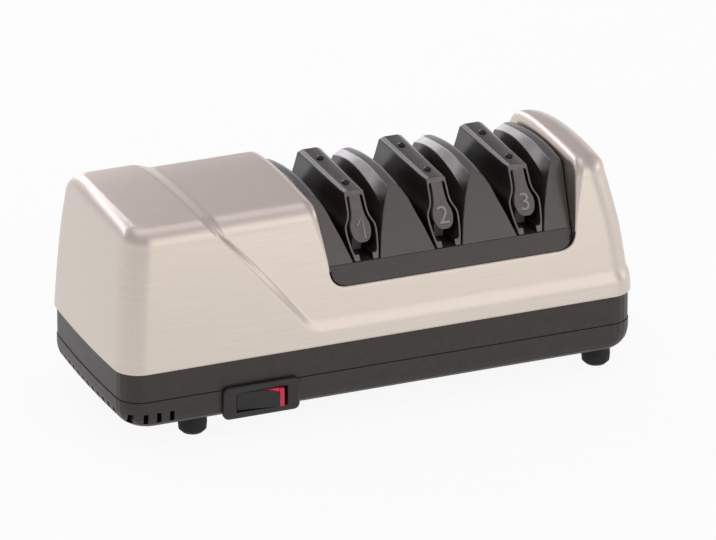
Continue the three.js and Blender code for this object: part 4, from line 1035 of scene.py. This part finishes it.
# Switch
BEZEL_LOW, BEZEL_HIGH = (tuple(v / MM for v in corner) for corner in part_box("switch_bezel"))
SWITCH_X, SWITCH_Z = (BEZEL_LOW[0] + BEZEL_HIGH[0]) / 2, 16.7
BEZEL_FACE = BEZEL_LOW[1] - SHIFT_Y / MM
BEZEL_BACK = BEZEL_FACE + 2.4
BEZEL_HALF, BEZEL_CORNER, BEZEL_ROUND = ((BEZEL_HIGH[0] - BEZEL_LOW[0]) / 2, 8.0), 3.0, 1.4
WELL_HALF, WELL_CORNER, WELL_ROUND, WELL_DEPTH = (12.4, 4.7), 0.3, 0.7, 8
ROCKER_TILT, ROCKER_DEPTH, ROCKER_HALF, ROCKER_BACK = math.radians(8), 6.0, (11.26, 4.4), 2
# The black plate on the red body stops short of its right end and has its upper right corner cut off
PLATE, PLATE_INSET, PLATE_GAP, PLATE_SEAT = 0.8, 2.2, 0.05, 0.02
WEDGE_START, WEDGE_DROP = 3.0, 1.9


def rounded(half, inset, corner, y):
    """Outline of a rounded rectangle in the plane of the switch; a negative inset widens it."""
    points = []
    for k, (cx, cz) in enumerate(((1, 1), (-1, 1), (-1, -1), (1, -1))):
        for t in [k * QUARTER + turn for turn in quarter(6)]:
            points.append((SWITCH_X + cx * (half[0] - inset - corner) + corner * math.cos(t), y,
                           SWITCH_Z + cz * (half[1] - inset - corner) + corner * math.sin(t)))
    return points


def bezel():
    """Frame with a rounded rim and a rounded well for the rocker."""
    sheet = Sheet()
    rings = [rounded(BEZEL_HALF, 0, BEZEL_CORNER, y) for y in (BEZEL_BACK, BEZEL_FACE + BEZEL_ROUND)]
    for t in quarter(6)[1:]:
        inset, back = BEZEL_ROUND * (1 - math.cos(t)), BEZEL_ROUND * (1 - math.sin(t))
        rings.append(rounded(BEZEL_HALF, inset, BEZEL_CORNER - inset, BEZEL_FACE + back))
    for t in quarter(5):
        out, back = WELL_ROUND * (1 - math.sin(t)), WELL_ROUND * (1 - math.cos(t))
        rings.append(rounded(WELL_HALF, -out, WELL_CORNER + out, BEZEL_FACE + back))
    rings.append(rounded(WELL_HALF, 0, WELL_CORNER, BEZEL_FACE + WELL_DEPTH))
    sheet.strips([sheet.row(ring) for ring in rings], closed=True)
    sheet.piece("switch_frame", "frame_black", "housing", ["switch_bezel"], crease=50)


def turned(points):
    """Points about the pivot of the rocker, turned to its rest place."""
    c, s = math.cos(ROCKER_TILT), math.sin(ROCKER_TILT)
    pivot_y = BEZEL_FACE + ROCKER_DEPTH
    return [(SWITCH_X + x * c + y * s, pivot_y - x * s + y * c, SWITCH_Z + z) for x, y, z in points]


def rocker():
    """Red body and black plate, drawn about the pivot."""
    hx, hz = ROCKER_HALF
    face, plate_end = -ROCKER_DEPTH, hx - PLATE_INSET
    body = Sheet()
    outline = [(-hx, face + PLATE), (plate_end, face + PLATE), (plate_end, face), (hx, face), (hx, face / 2),
               (hx / 2, -ROCKER_BACK), (-hx / 2, -ROCKER_BACK), (-hx, face / 2)]
    body.loft([turned([(x, y, z) for x, y in outline]) for z in (-hz, hz)])
    bevel(body.piece("rocker_body", "rocker_red", "rocker", ["switch_rocker"], crease=30), width=0.3)
    plate = Sheet()
    plate_end -= PLATE_GAP
    outline = [(-hx, -hz), (plate_end, -hz), (plate_end, hz - WEDGE_DROP), (WEDGE_START, hz), (-hx, hz)]
    plate.loft([turned([(x, y, z) for x, z in outline]) for y in (face, face + PLATE - PLATE_SEAT)])
    bevel(plate.piece("rocker_plate", "rocker_black", "rocker", ["switch_rocker_face"], crease=30), width=0.3)


bezel()
rocker()


# Floor: half its size in metres, and how much of it shows as plain white
FLOOR_HALF, FLOOR_WHITE = 6, 0.92


def floor():
    """White to the camera and in reflections, with a faint shadow."""
    data = bpy.data.meshes.new("floor")
    r = FLOOR_HALF
    data.from_pydata([(-r, -r, 0), (r, -r, 0), (r, r, 0), (-r, r, 0)], [], [(0, 1, 2, 3)])
    obj = bpy.data.objects.new("floor", data)
    scene.collection.objects.link(obj)
    m = Maker("floor", (0.93, 0.93, 0.93), 0.7)
    plain = m.node("ShaderNodeEmission", (1.0, 1.0, 1.0, 1.0), 1.0)
    share = m.node("ShaderNodeMath", seen(m.tree), FLOOR_WHITE, operation="MULTIPLY")
    join = m.node("ShaderNodeMixShader", share.outputs[0], m.shader.outputs[0], plain.outputs[0])
    m.tree.links.new(join.outputs[0], m.tree.nodes["Material Output"].inputs["Surface"])
    data.materials.append(m.material)


floor()
